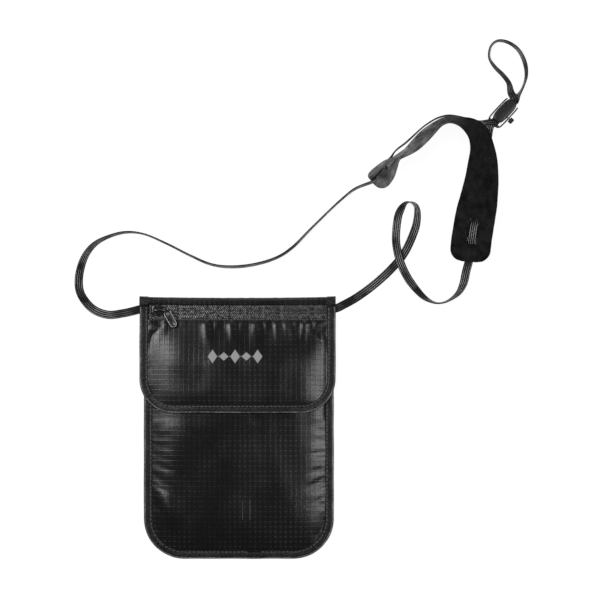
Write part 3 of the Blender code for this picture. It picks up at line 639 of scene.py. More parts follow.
def moulded(name, dark, light, roughness, coat=0.0, metallic=0.0):
    """Plastic or enamel with faint mottling, paler scuffs and a fine skin."""
    made = Recipe(name, roughness, 0.5, metallic, coat=coat)
    place = made.coordinates("Object")
    mottle = place.grains(700, 4)
    made.colour(place.grains(260, 5, 0.8).remap(0.55, 0.75, 0.0, 1.0), dark, light)
    made.plug("Roughness", mottle.remap(0.3, 0.7, roughness - 0.05, roughness + 0.1))
    made.bump(mottle, 0.00003, 0.6)
    return made.material


def thread(name, dark, light):
    made = Recipe(name, 0.6, 0.4)
    twist = made.coordinates("Object").grains(2400, 2)
    made.colour(twist, dark, light)
    made.bump(twist, 0.00008)
    return made.material


CLOTH = ripstop("ripstop_black", (0.003, 0.003, 0.0034), (0.095, 0.095, 0.098), 0.25)
CLOTH_BACK = ripstop("ripstop_back", (0.006, 0.006, 0.0065), (0.08, 0.08, 0.085), 0.55)
LINING = ripstop("lining_grey", (0.012, 0.012, 0.013), (0.05, 0.05, 0.052), 0.6)
TAPE = ribbed("grosgrain_black", (0.003, 0.003, 0.0034), (0.42, 0.42, 0.425), 0.95, 0.34)
ZIP_TAPE = twill("zip_tape_black", (0.004, 0.004, 0.0045), (0.5, 0.5, 0.505), 1.6)
WEBBING = webbing("webbing_black", (0.0035, 0.0035, 0.0039), (0.62, 0.62, 0.63), 1.5, 1.0)
FELT = felt("brushed_black", (0.0022, 0.0022, 0.0024), (0.75, 0.75, 0.76), True)
PILE = felt("hook_loop_black", (0.004, 0.004, 0.004), (0.07, 0.07, 0.07), False)
THREAD = thread("thread_black", (0.03, 0.03, 0.03), (0.34, 0.34, 0.345))
ENAMEL = moulded("slider_enamel", (0.006, 0.006, 0.006), (0.03, 0.03, 0.03), 0.22, coat=0.6, metallic=0.3)
# Pale plastic for the tab's edge and eye rings: painted highlights along them.
HIGHLIGHT_RUBBER = moulded("tab_highlight_edge", (0.35, 0.35, 0.353), (0.7, 0.7, 0.705), 0.35, coat=0.3)
RUBBER = moulded("tab_plastic", (0.008, 0.008, 0.0085), (0.06, 0.06, 0.062), 0.3, coat=0.5)
PLASTIC = moulded("lock_plastic", (0.008, 0.008, 0.0085), (0.04, 0.04, 0.042), 0.4)
DARK_PLASTIC = moulded("button_plastic", (0.005, 0.005, 0.005), (0.03, 0.03, 0.03), 0.45)
COIL = moulded("coil_plastic", (0.006, 0.006, 0.006), (0.03, 0.03, 0.03), 0.35)
STEEL = moulded("spring_wire", (0.35, 0.35, 0.36), (0.5, 0.5, 0.5), 0.3, metallic=1.0)
INK = thread("printed_ink", (0.25, 0.25, 0.253), (0.42, 0.42, 0.423))


# ------------------------------------------------------------ camera, floor and light

def point_at(obj, target):
    obj.rotation_euler = (Vector(target) - obj.location).to_track_quat("-Z", "Y").to_euler()


def area_light(name, location, target, size, power):
    data = bpy.data.lights.new(name, "AREA")
    data.shape = "RECTANGLE"
    data.size, data.size_y = size
    data.energy = power
    light = bpy.data.objects.new(name, data)
    light.location = location
    bpy.context.scene.collection.objects.link(light)
    point_at(light, target)


# Name, place in metres, size and power of each light, and the place on the pouch that they point at
LIGHTS = (("key", (-0.68, 0.3, 0.95), (0.35, 0.7), 7.5), ("fill", (0.75, 0.0, 0.9), (0.35, 0.7), 5),
          ("top", (0.1, 0.95, 0.7), (0.7, 0.3), 1.5))
LIT_PLACE = (0, 0.05, 0)
CAMERA_PLACE = (0.0444, 0.091, 1.19)


def make_studio():
    data = bpy.data.cameras.new("camera")
    data.lens, data.sensor_width = 100, 36
    camera = bpy.data.objects.new("camera", data)
    camera.location = CAMERA_PLACE
    bpy.context.scene.collection.objects.link(camera)
    bpy.context.scene.camera = camera
    mesh = bpy.data.meshes.new("floor")
    half = 3.0
    square = [(-half, -half, 0), (half, -half, 0), (half, half, 0), (-half, half, 0)]
    mesh.from_pydata(square, [], [(0, 1, 2, 3)])
    white = Recipe("floor_white", 0.9, 0.0)
    white.shader.inputs["Base Color"].default_value = (0.2, 0.2, 0.2, 1)
    white.shader.inputs["Emission Color"].default_value = (1, 1, 1, 1)
    white.shader.inputs["Emission Strength"].default_value = 0.9
    floor = make_object("floor", mesh, white.material)
    floor.location.z = -0.0004
    world = bpy.data.worlds.new("studio")
    bpy.context.scene.world = world
    world.use_nodes = True
    world.node_tree.nodes["Background"].inputs[0].default_value = (1, 1, 1, 1)
    world.node_tree.nodes["Background"].inputs[1].default_value = 0.1
    for name, location, size, power in LIGHTS:
        area_light(name, location, LIT_PLACE, size, power)
    bpy.context.scene.view_settings.view_transform = "Standard"


# ------------------------------------------------------------ pouch and flap

def front_slack(x, y):
    """Share of the simulated folds that the pocket's front keeps: none under the flap, less on the left."""
    return ease((9 - y) / 9) * (0.35 + 0.5 * ease(x / 30))


def pieces_of_cloth():
    body = (BODY_LOW.x, BODY_HIGH.x, BODY_LOW.y, BODY_RADIUS)
    flap = (FLAP_LOW.x, FLAP_HIGH.x, FLAP_LOW.y, FLAP_RADIUS)
    flat_back = BACK_LOW.z + 0.2

    back, _ = cloth_panel("pouch_back", body, BACK_HIGH.y, lambda x, y: flat_back, CLOTH_BACK, step=2.5)
    finish_cloth(back, "pouch", "back_panel")
    front, front_at = cloth_panel("pocket_front", body, FRONT_HIGH.y, body_height, CLOTH, step=1.3,
                                  slack=(-0.5, front_slack))
    finish_cloth(front, "pouch", "front_panel")
    panel, flap_at = cloth_panel("flap_front", flap, PANEL_HIGH.y, flap_height, CLOTH, step=1.2,
                                 slack=(-0.1, lambda x, y: 0.8))
    finish_cloth(panel, "flap", "flap_panel")
    lining, _ = cloth_panel("flap_inside", flap, LINING_HIGH.y, lining_height, LINING, step=2.2)
    finish_cloth(lining, "flap", "flap_lining")

    body_tape = folded_tape("pouch_binding", body, BODY_HIGH.y, 0.03, BINDING_OUTER_Z, True,
                            TAPE, 20, overlap_at=(6.0, 17.0))
    belongs(body_tape, "pouch", "body_binding")
    flap_tape = folded_tape("flap_edge_binding", flap, FLAP_HIGH.y, FLAP_LOW.z,
                            FLAP_LOW.z + BINDING_OUTER_Z, False, TAPE, 30)
    belongs(flap_tape, "flap", "flap_binding")

    inset, sewn_z = BINDING_WIDTH - 1.05, BINDING_OUTER_Z - 0.05
    for ridden, outline, top, base in (("pouch", body, BODY_HIGH.y - 1, 0.0),
                                       ("flap", flap, FLAP_HIGH.y - 1, FLAP_LOW.z)):
        line = []
        for x, y, nx, ny in outline_path(outline, top):
            px, py = x - nx * inset, y - ny * inset
            line.append((px, py, base + sewn_z + rise(px, py)))
        stitches(f"{ridden}_stitching", line, ridden)
    mark_top, mark_step = -51, 0.8
    for name, x in (("pocket_mark_left", 3.7), ("pocket_mark_right", 8.8)):
        line = [(x, y, front_at(x, y) + 0.25) for y in (mark_top - mark_step * i for i in range(19))]
        stitches(name, line, "pouch", pitch=1.6, length=1.2, radius=0.15)
    return front_at, flap_at


def finish_cloth(obj, body, source):
    belongs(obj, body, source)


def fold_strip():
    """Cloth that turns over the top edge, from the pouch's back to the flap's top strip."""
    radius_y = FOLD_HIGH.y - HINGE.y
    radius_z = FOLD_HIGH.z - HINGE.z - 0.1
    profile = [(BACK_HIGH.y - 3.0, BACK_LOW.z - 0.25), (HINGE.y - 3.0, HINGE.z - radius_z + 0.25)]
    steps = 14
    for i in range(steps + 1):
        turn = math.radians(-90 + 180 * i / steps)
        profile.append((HINGE.y + (radius_y - 0.15) * math.cos(turn),
                        HINGE.z + (radius_z - 0.1) * math.sin(turn)))
    profile += [(HINGE.y - 1.4, HINGE.z + radius_z - 0.12), (HINGE.y - 2.4, HINGE.z + radius_z - 0.3),
                (HINGE.y - 2.9, HINGE.z + radius_z - 0.75)]
    left, right = FLAP_LOW.x + 0.15, FLAP_HIGH.x - 0.15
    strip = folded_over("top_fold", profile, left, right, 110, 0.0, CLOTH, 0.38)
    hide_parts("flap_fold_strip")
    tape_profile = [(BACK_HIGH.y - 1.5, BACK_LOW.z - 0.25), *profile[1:-3],
                    (HINGE.y - 2.0, HINGE.z + radius_z - 0.1), (HINGE.y - 4.4, HINGE.z + radius_z - 0.12)]
    for side, x0, x1 in (("left", left - 0.1, left + BINDING_WIDTH),
                         ("right", right - BINDING_WIDTH, right + 0.1)):
        tape = folded_over(f"fold_tape_{side}", tape_profile, x0, x1, 12, 0.32, TAPE, 0.34)


def folded_over(name, profile, left, right, count, outset, material, thickness):
    """Cloth or tape that follows the fold's profile between two places across the pouch."""
    span = FLAP_HIGH.x - FLAP_LOW.x
    rows = []
    for i in range(count + 1):
        x = left + (right - left) * i / count
        share = min(max((x - FLAP_LOW.x) / span, 0.0), 1.0)
        sag = -0.9 * math.sin(math.pi * share) ** 0.6
        row = []
        for y, z in profile:
            crease = 0.14 * wave(x * 2.2, z * 3, 9, 40) if z > 1 else 0.0
            out = Vector((y - HINGE.y + 3.0, z - HINGE.z)).normalized() * outset
            row.append((x, y + sag * ease((y - 84) / 6) + crease + out.x, z + crease * 0.5 + max(out.y, 0.0)))
        rows.append(row)
    strip = skin(name, rows, material, outward=False)
    thicken(strip, thickness)
    bake(strip)
    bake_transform(strip)
    return strip


def bake(obj):
    """Turn an object's modifiers into its mesh."""
    graph = bpy.context.evaluated_depsgraph_get()
    graph.update()
    mesh = bpy.data.meshes.new_from_object(obj.evaluated_get(graph), preserve_all_data_layers=True,
                                           depsgraph=graph)
    obj.modifiers.clear()
    obj.data = mesh


# Across the tape folded over the pocket's mouth, from the mouth's edge and the cloth's height
MOUTH_TAPE_SECTION = ((-4.6, 0.5), (-2.5, 0.58), (-0.4, 0.5), (0.5, 0.2), (0.5, -0.3), (-0.4, -0.55),
                      (-4.6, -0.5), (-4.6, -0.3), (-0.6, -0.32), (0.15, -0.1), (-0.6, 0.3), (-4.6, 0.3))


def hidden_pieces(front_at):
    """Mouth tape and hook-and-loop patches under the flap."""
    low, high = corners("mouth_binding")
    count = 70
    rows = []
    for i in range(count + 1):
        x = low.x + (high.x - low.x) * i / count
        base = front_at(x, FRONT_HIGH.y - 2)
        row = []
        for dy, dz in MOUTH_TAPE_SECTION:
            row.append((x, FRONT_HIGH.y + dy, base + dz))
        rows.append(row)
    tape = skin("mouth_tape", rows, TAPE, wrap=True, caps=True)
    belongs(tape, "pouch", "mouth_binding")
    patches = (("loop_side", "loop_patch", "pouch", 50, front_at, 0.48),
               ("hook_side", "hook_patch", "flap", 51, lining_height, -0.46))
    for name, source, body, seed, ground, off in patches:
        low, high = corners(source)
        patch_rows = []
        steps_x, steps_y = 60, 22
        for i in range(steps_x + 1):
            x = low.x + (high.x - low.x) * i / steps_x
            row = []
            for j in range(steps_y + 1):
                y = low.y + (high.y - low.y) * j / steps_y
                edge = min(x - low.x, high.x - x, y - low.y, high.y - y)
                pile = 0.07 * wave(x * 9, y * 9, 6, seed) * ease(edge / 1.5)
                row.append((x, y, ground(x, y) + off + pile))
            patch_rows.append(row)
        patch = skin(name, patch_rows, PILE, outward=False)
        thicken(patch, 0.36)
        belongs(patch, body, source)


def emblem(flap_at):
    """A generic printed motif, a row of lozenges on a line, that lies on the flap's cloth."""
    centre = (EMBLEM_LOW + EMBLEM_HIGH) / 2
    half_height = (EMBLEM_HIGH.y - EMBLEM_LOW.y) / 2
    pitch = 8.0
    verts, faces = [], []

    def patch(outline_at, x0, x1, steps, rows=6):
        """Fill between the lines y = centre - h(x) and y = centre + h(x)."""
        start = len(verts)
        for i in range(steps + 1):
            x = x0 + (x1 - x0) * i / steps
            h = outline_at(x)
            for j in range(rows + 1):
                y = centre.y - h + 2 * h * j / rows
                verts.append(Vector((x, y, flap_at(x, y) + 0.29)) * MM)
        for i in range(steps):
            for j in range(rows):
                p = start + i * (rows + 1) + j
                faces.append((p, p + rows + 1, p + rows + 2, p + 1))

    for i in range(5):
        middle = centre.x + (i - 2) * pitch
        tall = half_height * (1.0 if i % 2 == 0 else 0.62)
        patch(lambda x: max(tall * (1 - abs(x - middle) / 3.4), 0.02), middle - 3.4, middle + 3.4, 16)
    for i in range(4):
        a = centre.x + (i - 2) * pitch + 3.7
        patch(lambda x: 0.35, a, a + pitch - 7.4, 2, 1)
    mesh = bpy.data.meshes.new("flap_motif")
    mesh.from_pydata(verts, [], faces)
    motif = make_object("flap_motif", mesh, INK)
    thicken(motif, 0.08)
    belongs(motif, "flap", "flap_emblem")


# ------------------------------------------------------------ zip

def zip_tapes(flap_at):
    """Twill tapes each side of the seam: the hidden chain lifts their inner edges."""
    low_x, high_x = TAPE_UP_LOW.x, TAPE_UP_HIGH.x
    base = TAPE_UP_LOW.z + 0.15
    for name, source, outer_y, side in (("zip_tape_top", "zip_tape_upper", TAPE_UP_HIGH.y + 0.2, 1),
                                        ("zip_tape_bottom", "zip_tape_lower", TAPE_DOWN_LOW.y - 0.9, -1)):
        count = 160
        rows = []
        for i in range(count + 1):
            x = low_x + (high_x - low_x) * i / count
            row = []
            for j in range(17):
                share = j / 16
                y = outer_y + (SEAM_Y + side * 0.14 - outer_y) * share
                away = abs(y - SEAM_Y)
                lift = 0.62 * ease((2.7 - away) / 1.3) - 0.12 * ease((0.5 - away) / 0.4)
                row.append((x, y, base + lift + 0.05 * wave(x, y * 4, 7, 60 + side)))
            rows.append(row)
        tape = skin(name, rows, ZIP_TAPE, outward=False)
        thicken(tape, 0.28)
        belongs(tape, "flap", source)
    line_top = [(low_x + (high_x - low_x) * i / 160, SEAM_Y + 3.1, base + 0.25) for i in range(161)]
    line_bottom = [(x, SEAM_Y - 3.1, z) for x, _, z in line_top]
    edge = [(x, PANEL_HIGH.y - 0.9, flap_at(x, PANEL_HIGH.y - 0.9) + 0.28) for x, _, _ in line_top]
    for name, line in (("zip_stitching_top", line_top), ("zip_stitching_bottom", line_bottom),
                       ("panel_edge_stitching", edge)):
        stitches(name, line, "flap", pitch=2.6, length=2.0, radius=0.15)


def disc_loft(name, outline, levels, material):
    """A solid from an outline repeated at (height, scale) levels, in the outline's own frame (mm)."""
    centre = sum((Vector(p) for p in outline), Vector((0, 0))) / len(outline)
    rows = []
    for height, inset in levels:
        row = []
        for p in outline:
            offset = Vector(p) - centre
            shrunk = centre + offset * max(1 - inset / max(offset.length, 0.01), 0.02)
            row.append((shrunk.x, shrunk.y, height))
        rows.append(row)
    return skin(name, rows, material, wrap=True, caps=True)


def rounded(points, radius, steps=4):
    """A closed outline with its corners cut to curves."""
    out = []
    count = len(points)
    for i, p in enumerate(points):
        p = Vector(p)
        before, after = Vector(points[i - 1]) - p, Vector(points[(i + 1) % count]) - p
        reach = min(radius, before.length * 0.45, after.length * 0.45)
        a, b = p + before.normalized() * reach, p + after.normalized() * reach
        for k in range(steps + 1):
            t = k / steps
            q = a * (1 - t) ** 2 + p * 2 * t * (1 - t) + b * t * t
            out.append((q.x, q.y))
    return out


def tube(name, points, radius, material, sides=12, flat=1.0):
    """A round bar through points (mm), closed at both ends with a small dome."""
    rows = []
    count = len(points)
    for i, p in enumerate(points):
        p = Vector(p)
        before, after = Vector(points[max(i - 1, 0)]), Vector(points[min(i + 1, count - 1)])
        along = (after - before).normalized()
        side = Vector((0, 1, 0)) if abs(along.y) < 0.9 else Vector((1, 0, 0))
        up = along.cross(side).normalized()
        side = up.cross(along).normalized()
        r = radius * (0.6 if i in (0, count - 1) else 1.0)
        rows.append([p + side * math.cos(2 * math.pi * k / sides) * r * flat
                     + up * math.sin(2 * math.pi * k / sides) * r for k in range(sides)])
    return skin(name, rows, material, wrap=True, caps=True)


def slider():
    centre = (SLIDER_LOW + SLIDER_HIGH) / 2
    x0, y0, z0 = SLIDER_LOW.x + 4.9, centre.y, SLIDER_LOW.z
    half = [(-4.8, -2.3), (-3.3, -4.1), (-0.9, -4.3), (1.6, -3.5), (4.6, -2.6)]
    outline = rounded(half + [(x, -y) for x, y in reversed(half)], 1.0)
    levels = ((0.0, 0.35), (0.15, 0.08), (0.4, 0.0), (0.85, 0.0), (1.15, 0.25), (1.3, 0.7), (1.36, 1.4))
    body = disc_loft("slider_body", outline, levels, ENAMEL)
    body.location = Vector((x0, y0, z0)) * MM
    pieces = [body]
    rail_line = ((-3.4, 3.3, 1.3), (-2.0, 3.5, 1.55), (0.5, 3.1, 1.55), (2.6, 2.4, 1.5), (3.9, 1.9, 1.25))
    for place, side in (("lower", -1), ("upper", 1)):
        rail = tube(f"slider_rail_{place}", [(x, side * y, z) for x, y, z in rail_line], 0.42, ENAMEL)
        rail.location = body.location
        pieces.append(rail)
    arch = []
    for i in range(25):
        t = i / 24
        x = -3.6 + 8.2 * t
        z = 0.9 + 1.5 * math.sin(math.pi * min(t * 1.02, 1)) ** 0.42
        arch.append((x, 0, z))
    bridge = tube("slider_bridge", arch, 0.72, ENAMEL, sides=16, flat=1.45)
    bridge.location = body.location
    pieces.append(bridge)
    for piece in pieces:
        belongs(piece, "zip_slider")
    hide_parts("zip_slider")


def pull_tab():
    """Flat tab with a raised rim, a dished end and an eye on a small wire link."""
    length, half = 14.7, 2.7
    root = 1.9
    outline = [(root, -1.9), (root + 1.0, -half)]
    outline += [(length - half + half * math.cos(a), half * math.sin(a))
                for a in (-math.pi / 2 + math.pi * i / 18 for i in range(19))]
    outline += [(root + 1.0, half), (root, 1.9)]
    outline = rounded(outline, 0.5, 2)
    levels = ((-0.6, 0.45), (-0.5, 0.15), (-0.25, 0.0), (0.3, 0.0), (0.55, 0.12), (0.65, 0.35), (0.62, 0.6),
              (0.42, 0.85), (0.36, 1.1))
    tab = disc_loft("pull_tab_body", outline, levels, RUBBER)
    dish = rounded([(length - 5.6, -1.25), (length - 1.6, -1.25), (length - 0.9, 0), (length - 1.6, 1.25),
                    (length - 5.6, 1.25)], 0.8)
    rim_levels = ((0.3, -0.35), (0.55, -0.3), (0.6, 0.0), (0.5, 0.25), (0.41, 0.5))
    rim = disc_loft("pull_tab_rim", dish, rim_levels, RUBBER)
    # The edge ring and the eye ring are pale plastic: painted highlights along the tab's rim and round its
    # eye.
    outline_rim = tube("pull_tab_edge", [(root + 0.6, -2.2, 0.52), (root + 1.4, -2.34, 0.56)]
                       + [(length - half + 2.34 * math.cos(a), 2.34 * math.sin(a), 0.56)
                          for a in (-math.pi / 2 + math.pi * i / 18 for i in range(19))]
                       + [(root + 1.4, 2.34, 0.56), (root + 0.6, 2.2, 0.52)], 0.27, HIGHLIGHT_RUBBER, sides=8)
    ring = []
    for i in range(25):
        turn = 2 * math.pi * i / 24
        ring.append((root + 2.2 + 0.85 * math.cos(turn), 0.85 * math.sin(turn), 0.48))
    eye = tube("pull_tab_eye", ring, 0.24, HIGHLIGHT_RUBBER, sides=8)
    grips = [tube(f"pull_tab_grip_{i}", [(root + 4.4 + i, -1.5, 0.42), (root + 4.4 + i, 1.5, 0.42)],
                  0.2, RUBBER, sides=8) for i in range(3)]
    link = []
    for i in range(17):
        turn = math.pi * i / 16
        link.append((root + 1.0 - (root + 0.4) * math.sin(turn), -1.25 * math.cos(turn), 0.0))
    wire = tube("pull_tab_link", link, 0.32, ENAMEL, sides=10)
    direction = Vector(JOINTS["pull_tab_hinge"]["axis"]).normalized().cross(Vector((0, 0, 1))) * -1
    angle = math.atan2(direction.y, direction.x)
    turn = Matrix.Rotation(angle, 4, "Z") @ Matrix.Rotation(-math.radians(5), 4, "Y")
    for piece in (tab, rim, outline_rim, eye, wire, *grips):
        piece.matrix_world = Matrix.Translation(TAB_ROOT * MM) @ turn
        belongs(piece, "pull_tab")
    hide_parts("zip_pull_tab")


# ------------------------------------------------------------ strap and neck pad

# Strap, pad and slits in millimetres, and how far the lock's mouth and its inside are from its centre
STRAP_WIDTH, STRAP_THICK = 6.0, 0.9
PAD_HALF_WIDTH, PAD_THICK, PAD_LIFT, PAD_CORNER = 14.2, 1.6, 1.9, 9.0
SLIT_HALF_WIDTH, SLIT_REACH = 3.5, 2.2
PAD_TIP = 2.0
OVER_PAD = PAD_THICK / 2 + STRAP_THICK / 2 + 0.4
STRAND_LOW, STRAND_HIGH = 2.0, 3.4
MOUTH, INSIDE = 11.5, 9

# The neck pad's centre line in plan, and its roll in degrees: 0 lies flat, 90 stands on edge
PAD_ROUTE = [(95.8, 176.7, 56), (100.5, 181.0, 60), (105.1, 185.3, 66), (109.4, 189.2, 78),
             (113.7, 193.1, 88), (118.7, 196.3, 84), (124.4, 200.3, 78), (130.8, 206.0, 76),
             (137.9, 212.0, 80),
             (144.4, 216.8, 86), (151.0, 218.8, 88), (158.0, 217.3, 86), (164.4, 214.3, 78),
             (170.1, 208.6, 70), (172.9, 199.6, 64), (173.6, 188.9, 53), (172.9, 176, 42),
             (171.1, 162.4, 28), (169, 150.3, 12), (166.5, 133.9, 4), (165.1, 118.2, 0)]

# The strap's route: x, y, roll in degrees, and lift above the floor
LEFT_RUN = [(-61.5, 84.4, 0, 1.3), (-66.5, 84.6, 0, 1.3), (-70, 84.3, 0, 1.2), (-75, 83, 0, 0.5),
            (-82, 81.5, 4), (-92, 80.4, 8), (-101.5, 83.4, 10), (-108.4, 89.6, 12), (-112.8, 98, 15),
            (-113, 109, 20), (-109.2, 121.4, 38), (-102.4, 130.3, 56), (-92.8, 135.8, 72),
            (-80, 139.2, 78), (-66.8, 137.9, 83), (-50.5, 131.1, 81), (-34.1, 122.8, 79),
            (-18.8, 116.3, 76), (-4, 114.6, 73), (12, 116.3, 74), (27.4, 121, 76), (39.2, 128.6, 76),
            (52.5, 142, 80), (64.3, 153.6, 82), (73.8, 162.4, 82, 1), (83.7, 169.9, 78, 4.5)]
BESIDE_PAD = [(121.0, 204.0, 84, 2.0), (130.8, 213.2, 88), (136.6, 217.4, 88), (142.4, 220.6, 88),
              (149.6, 222.4, 88), (157.0, 221.6, 88), (163.4, 220.0, 88), (168.6, 218.6, 84),
              (174.0, 217.2, 62, 0.3)]
LOOP = [(194.8, 238.4, 22, 1.0), (193.2, 245.4, 46, 0.2), (188.9, 251.3, 52), (183.2, 257.0, 58),
        (179.3, 263.4, 70), (180, 270.8, 76), (184.0, 275.1, 82), (189.5, 275.4, 82),
        (195.8, 272.7, 80), (201.2, 267.3, 76), (204.8, 259, 72), (205.5, 250.5, 78),
        (203.2, 242.6, 82), (200.0, 237.0, 64)]
RIGHT_RUN = [(162.9, 111, 4), (161, 103, 24), (157.7, 96.6, 52), (152.2, 91.8, 76), (145.8, 89.0, 84),
             (139.2, 89.4, 76), (131.6, 94.0, 44), (123.1, 103.9, 16, 0.7), (117.6, 113.8, 8, 1.3),
             (114.4, 123.4, 6, 1.3), (112.8, 134.8, 10, 0.5), (114, 148.5, 12), (116.2, 155.4, 26),
             (119.7, 160.0, 68), (124, 160.4, 104), (127.4, 157.2, 132), (128.1, 150.4, 152),
             (126.1, 140.4, 170), (119, 124.8, 180), (109.4, 113, 180), (97.5, 102.1, 180),
             (84.8, 92.8, 180), (75, 87.3, 180, 0.5), (70.5, 85.2, 180, 1.2), (66.5, 84.6, 180, 1.3),
             (62, 84.4, 180, 1.3)]


def smooth_path(points, step):
    """Points along a smooth curve through the given ones; each point is a tuple of any length."""
    out = []
    count = len(points)
    for i in range(count - 1):
        a, b = points[max(i - 1, 0)], points[i]
        c, d = points[i + 1], points[min(i + 2, count - 1)]
        pieces = max(1, round(math.dist(b[:3], c[:3]) / step))
        for k in range(pieces):
            t = k / pieces
            out.append(tuple(
                0.5 * (2 * q + (r - p) * t + (2 * p - 5 * q + 4 * r - s) * t * t
                       + (3 * q - 3 * r + s - p) * t ** 3) for p, q, r, s in zip(a, b, c, d)))
    out.append(tuple(points[-1]))
    return out


def pad_curve():
    """The pad's centre line as close points, each with its distance from the left end."""
    fine = smooth_path([(x, y, 0.0, roll) for x, y, roll in PAD_ROUTE], 1.0)
    line = [(0.0, fine[0])]
    for a, b in zip(fine, fine[1:]):
        line.append((line[-1][0] + math.dist(a[:2], b[:2]), b))
    return line


PAD_LINE = pad_curve()
PAD_LENGTH = PAD_LINE[-1][0]
PAD_SLITS = (11.0, PAD_LENGTH - 28.5, PAD_LENGTH - 15.0)


def pad_frame(s):
    """Centre, width direction, face direction and roll of the pad at distance s from its left end."""
    i = 1
    while i < len(PAD_LINE) - 1 and PAD_LINE[i][0] < s:
        i += 1
    (s0, a), (s1, b) = PAD_LINE[i - 1], PAD_LINE[i]
    t = (s - s0) / (s1 - s0)
    x, y, _, roll = (p + (q - p) * t for p, q in zip(a, b))
    before, after = PAD_LINE[max(i - 4, 0)][1], PAD_LINE[min(i + 3, len(PAD_LINE) - 1)][1]
    along = Vector((after[0] - before[0], after[1] - before[1], 0)).normalized()
    side = Vector((along.y, -along.x, 0))
    angle = math.radians(roll)
    width = side * math.cos(angle) - Vector((0, 0, 1)) * math.sin(angle)
    face = side * math.sin(angle) + Vector((0, 0, 1)) * math.cos(angle)
    z = PAD_HALF_WIDTH * math.sin(angle) + PAD_THICK / 2 * math.cos(angle) + PAD_LIFT
    return Vector((x, y, z)), width, face, roll


def free_point(x, y, roll, lift=0.0):
    angle = math.radians(roll)
    z = STRAP_WIDTH / 2 * abs(math.sin(angle)) + STRAP_THICK / 2 * abs(math.cos(angle)) + lift + 0.1
    return (x, y, z, roll)


def on_pad(s, offset, twist=0.0):
    centre, _, face, roll = pad_frame(s)
    return (*(centre + face * offset), roll + twist)


def in_lock(along, z, centre):
    return (centre.x + LOCK_AXIS.x * along, centre.y + LOCK_AXIS.y * along, z, 0.0)


def strap_route(lock):
    """The whole strap, from the pouch's left corner to its right one."""
    first, second, third = PAD_SLITS
    away = 3.4
    run = [free_point(*p) for p in LEFT_RUN]
    run += [on_pad(-1, OVER_PAD + 0.6, 20), on_pad(3, OVER_PAD + 0.4, 12), on_pad(first - away, OVER_PAD, 2)]
    run += [on_pad(first + away, -OVER_PAD), on_pad(first + 8, -OVER_PAD - 0.6)]
    run += [on_pad(first + 14, -OVER_PAD - 2.0)]
    run += [free_point(*p) for p in BESIDE_PAD]
    run += [in_lock(a, STRAND_HIGH, lock) for a in (-MOUTH, -INSIDE, 0, INSIDE, MOUTH - 0.5)]
    run += [free_point(*p) for p in LOOP]
    run += [in_lock(a, STRAND_LOW, lock) for a in (MOUTH - 0.5, INSIDE, 0, -INSIDE, -MOUTH)]
    run += [(179.4, 213.0, 3.4, 28.0)]
    run += [on_pad(share * PAD_LENGTH, -OVER_PAD - 0.7) for share in (0.63, 0.66, 0.69, 0.72, 0.75, 0.78)]
    run += [on_pad(second - away, -OVER_PAD), on_pad(second + away, OVER_PAD)]
    run += [on_pad(third - away, OVER_PAD), on_pad(third + away, -OVER_PAD)]
    run += [on_pad(PAD_LENGTH - 3, -OVER_PAD)]
    run += [free_point(*p) for p in RIGHT_RUN]
    return run


def ribbon_frame(points, i):
    """Width and face directions of the strap at a point of its path."""
    before, after = Vector(points[max(i - 1, 0)][:3]), Vector(points[min(i + 1, len(points) - 1)][:3])
    along = (after - before).normalized()
    side = Vector((along.y, -along.x, 0)).normalized()
    up = side.cross(along).normalized()
    if up.z < 0:
        up = -up
    angle = math.radians(points[i][3])
    return side * math.cos(angle) - up * math.sin(angle), side * math.sin(angle) + up * math.cos(angle)


def strap_section():
    """Across the webbing: four round ribs on each face between rolled edges."""
    half = STRAP_WIDTH / 2
    count = 24
    face = []
    for i in range(count + 1):
        v = -half + STRAP_WIDTH * i / count
        rib = abs(math.sin(math.pi * 4 * (i / count)))
        edge = ease((half - abs(v)) / 0.35)
        face.append((v, (0.20 + 0.25 * rib) * (0.35 + 0.65 * edge)))
    return face + [(v, -t) for v, t in reversed(face[1:-1])]


def neck_strap(lock):
    points = smooth_path(strap_route(lock), 0.9)
    section = strap_section()
    rows = []
    for i in range(len(points)):
        width, face = ribbon_frame(points, i)
        centre = Vector(points[i][:3])
        rows.append([centre + width * v + face * t for v, t in section])
    strap = skin("neck_webbing", rows, WEBBING, wrap=True, caps=True)
    near = (lock - Vector((LOCK_AXIS.x, LOCK_AXIS.y, 0)) * 24) * MM
    far = (lock - Vector((LOCK_AXIS.x, LOCK_AXIS.y, 0)) * 12.5) * MM
    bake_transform(strap)
    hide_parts("neck_strap")
    return strap


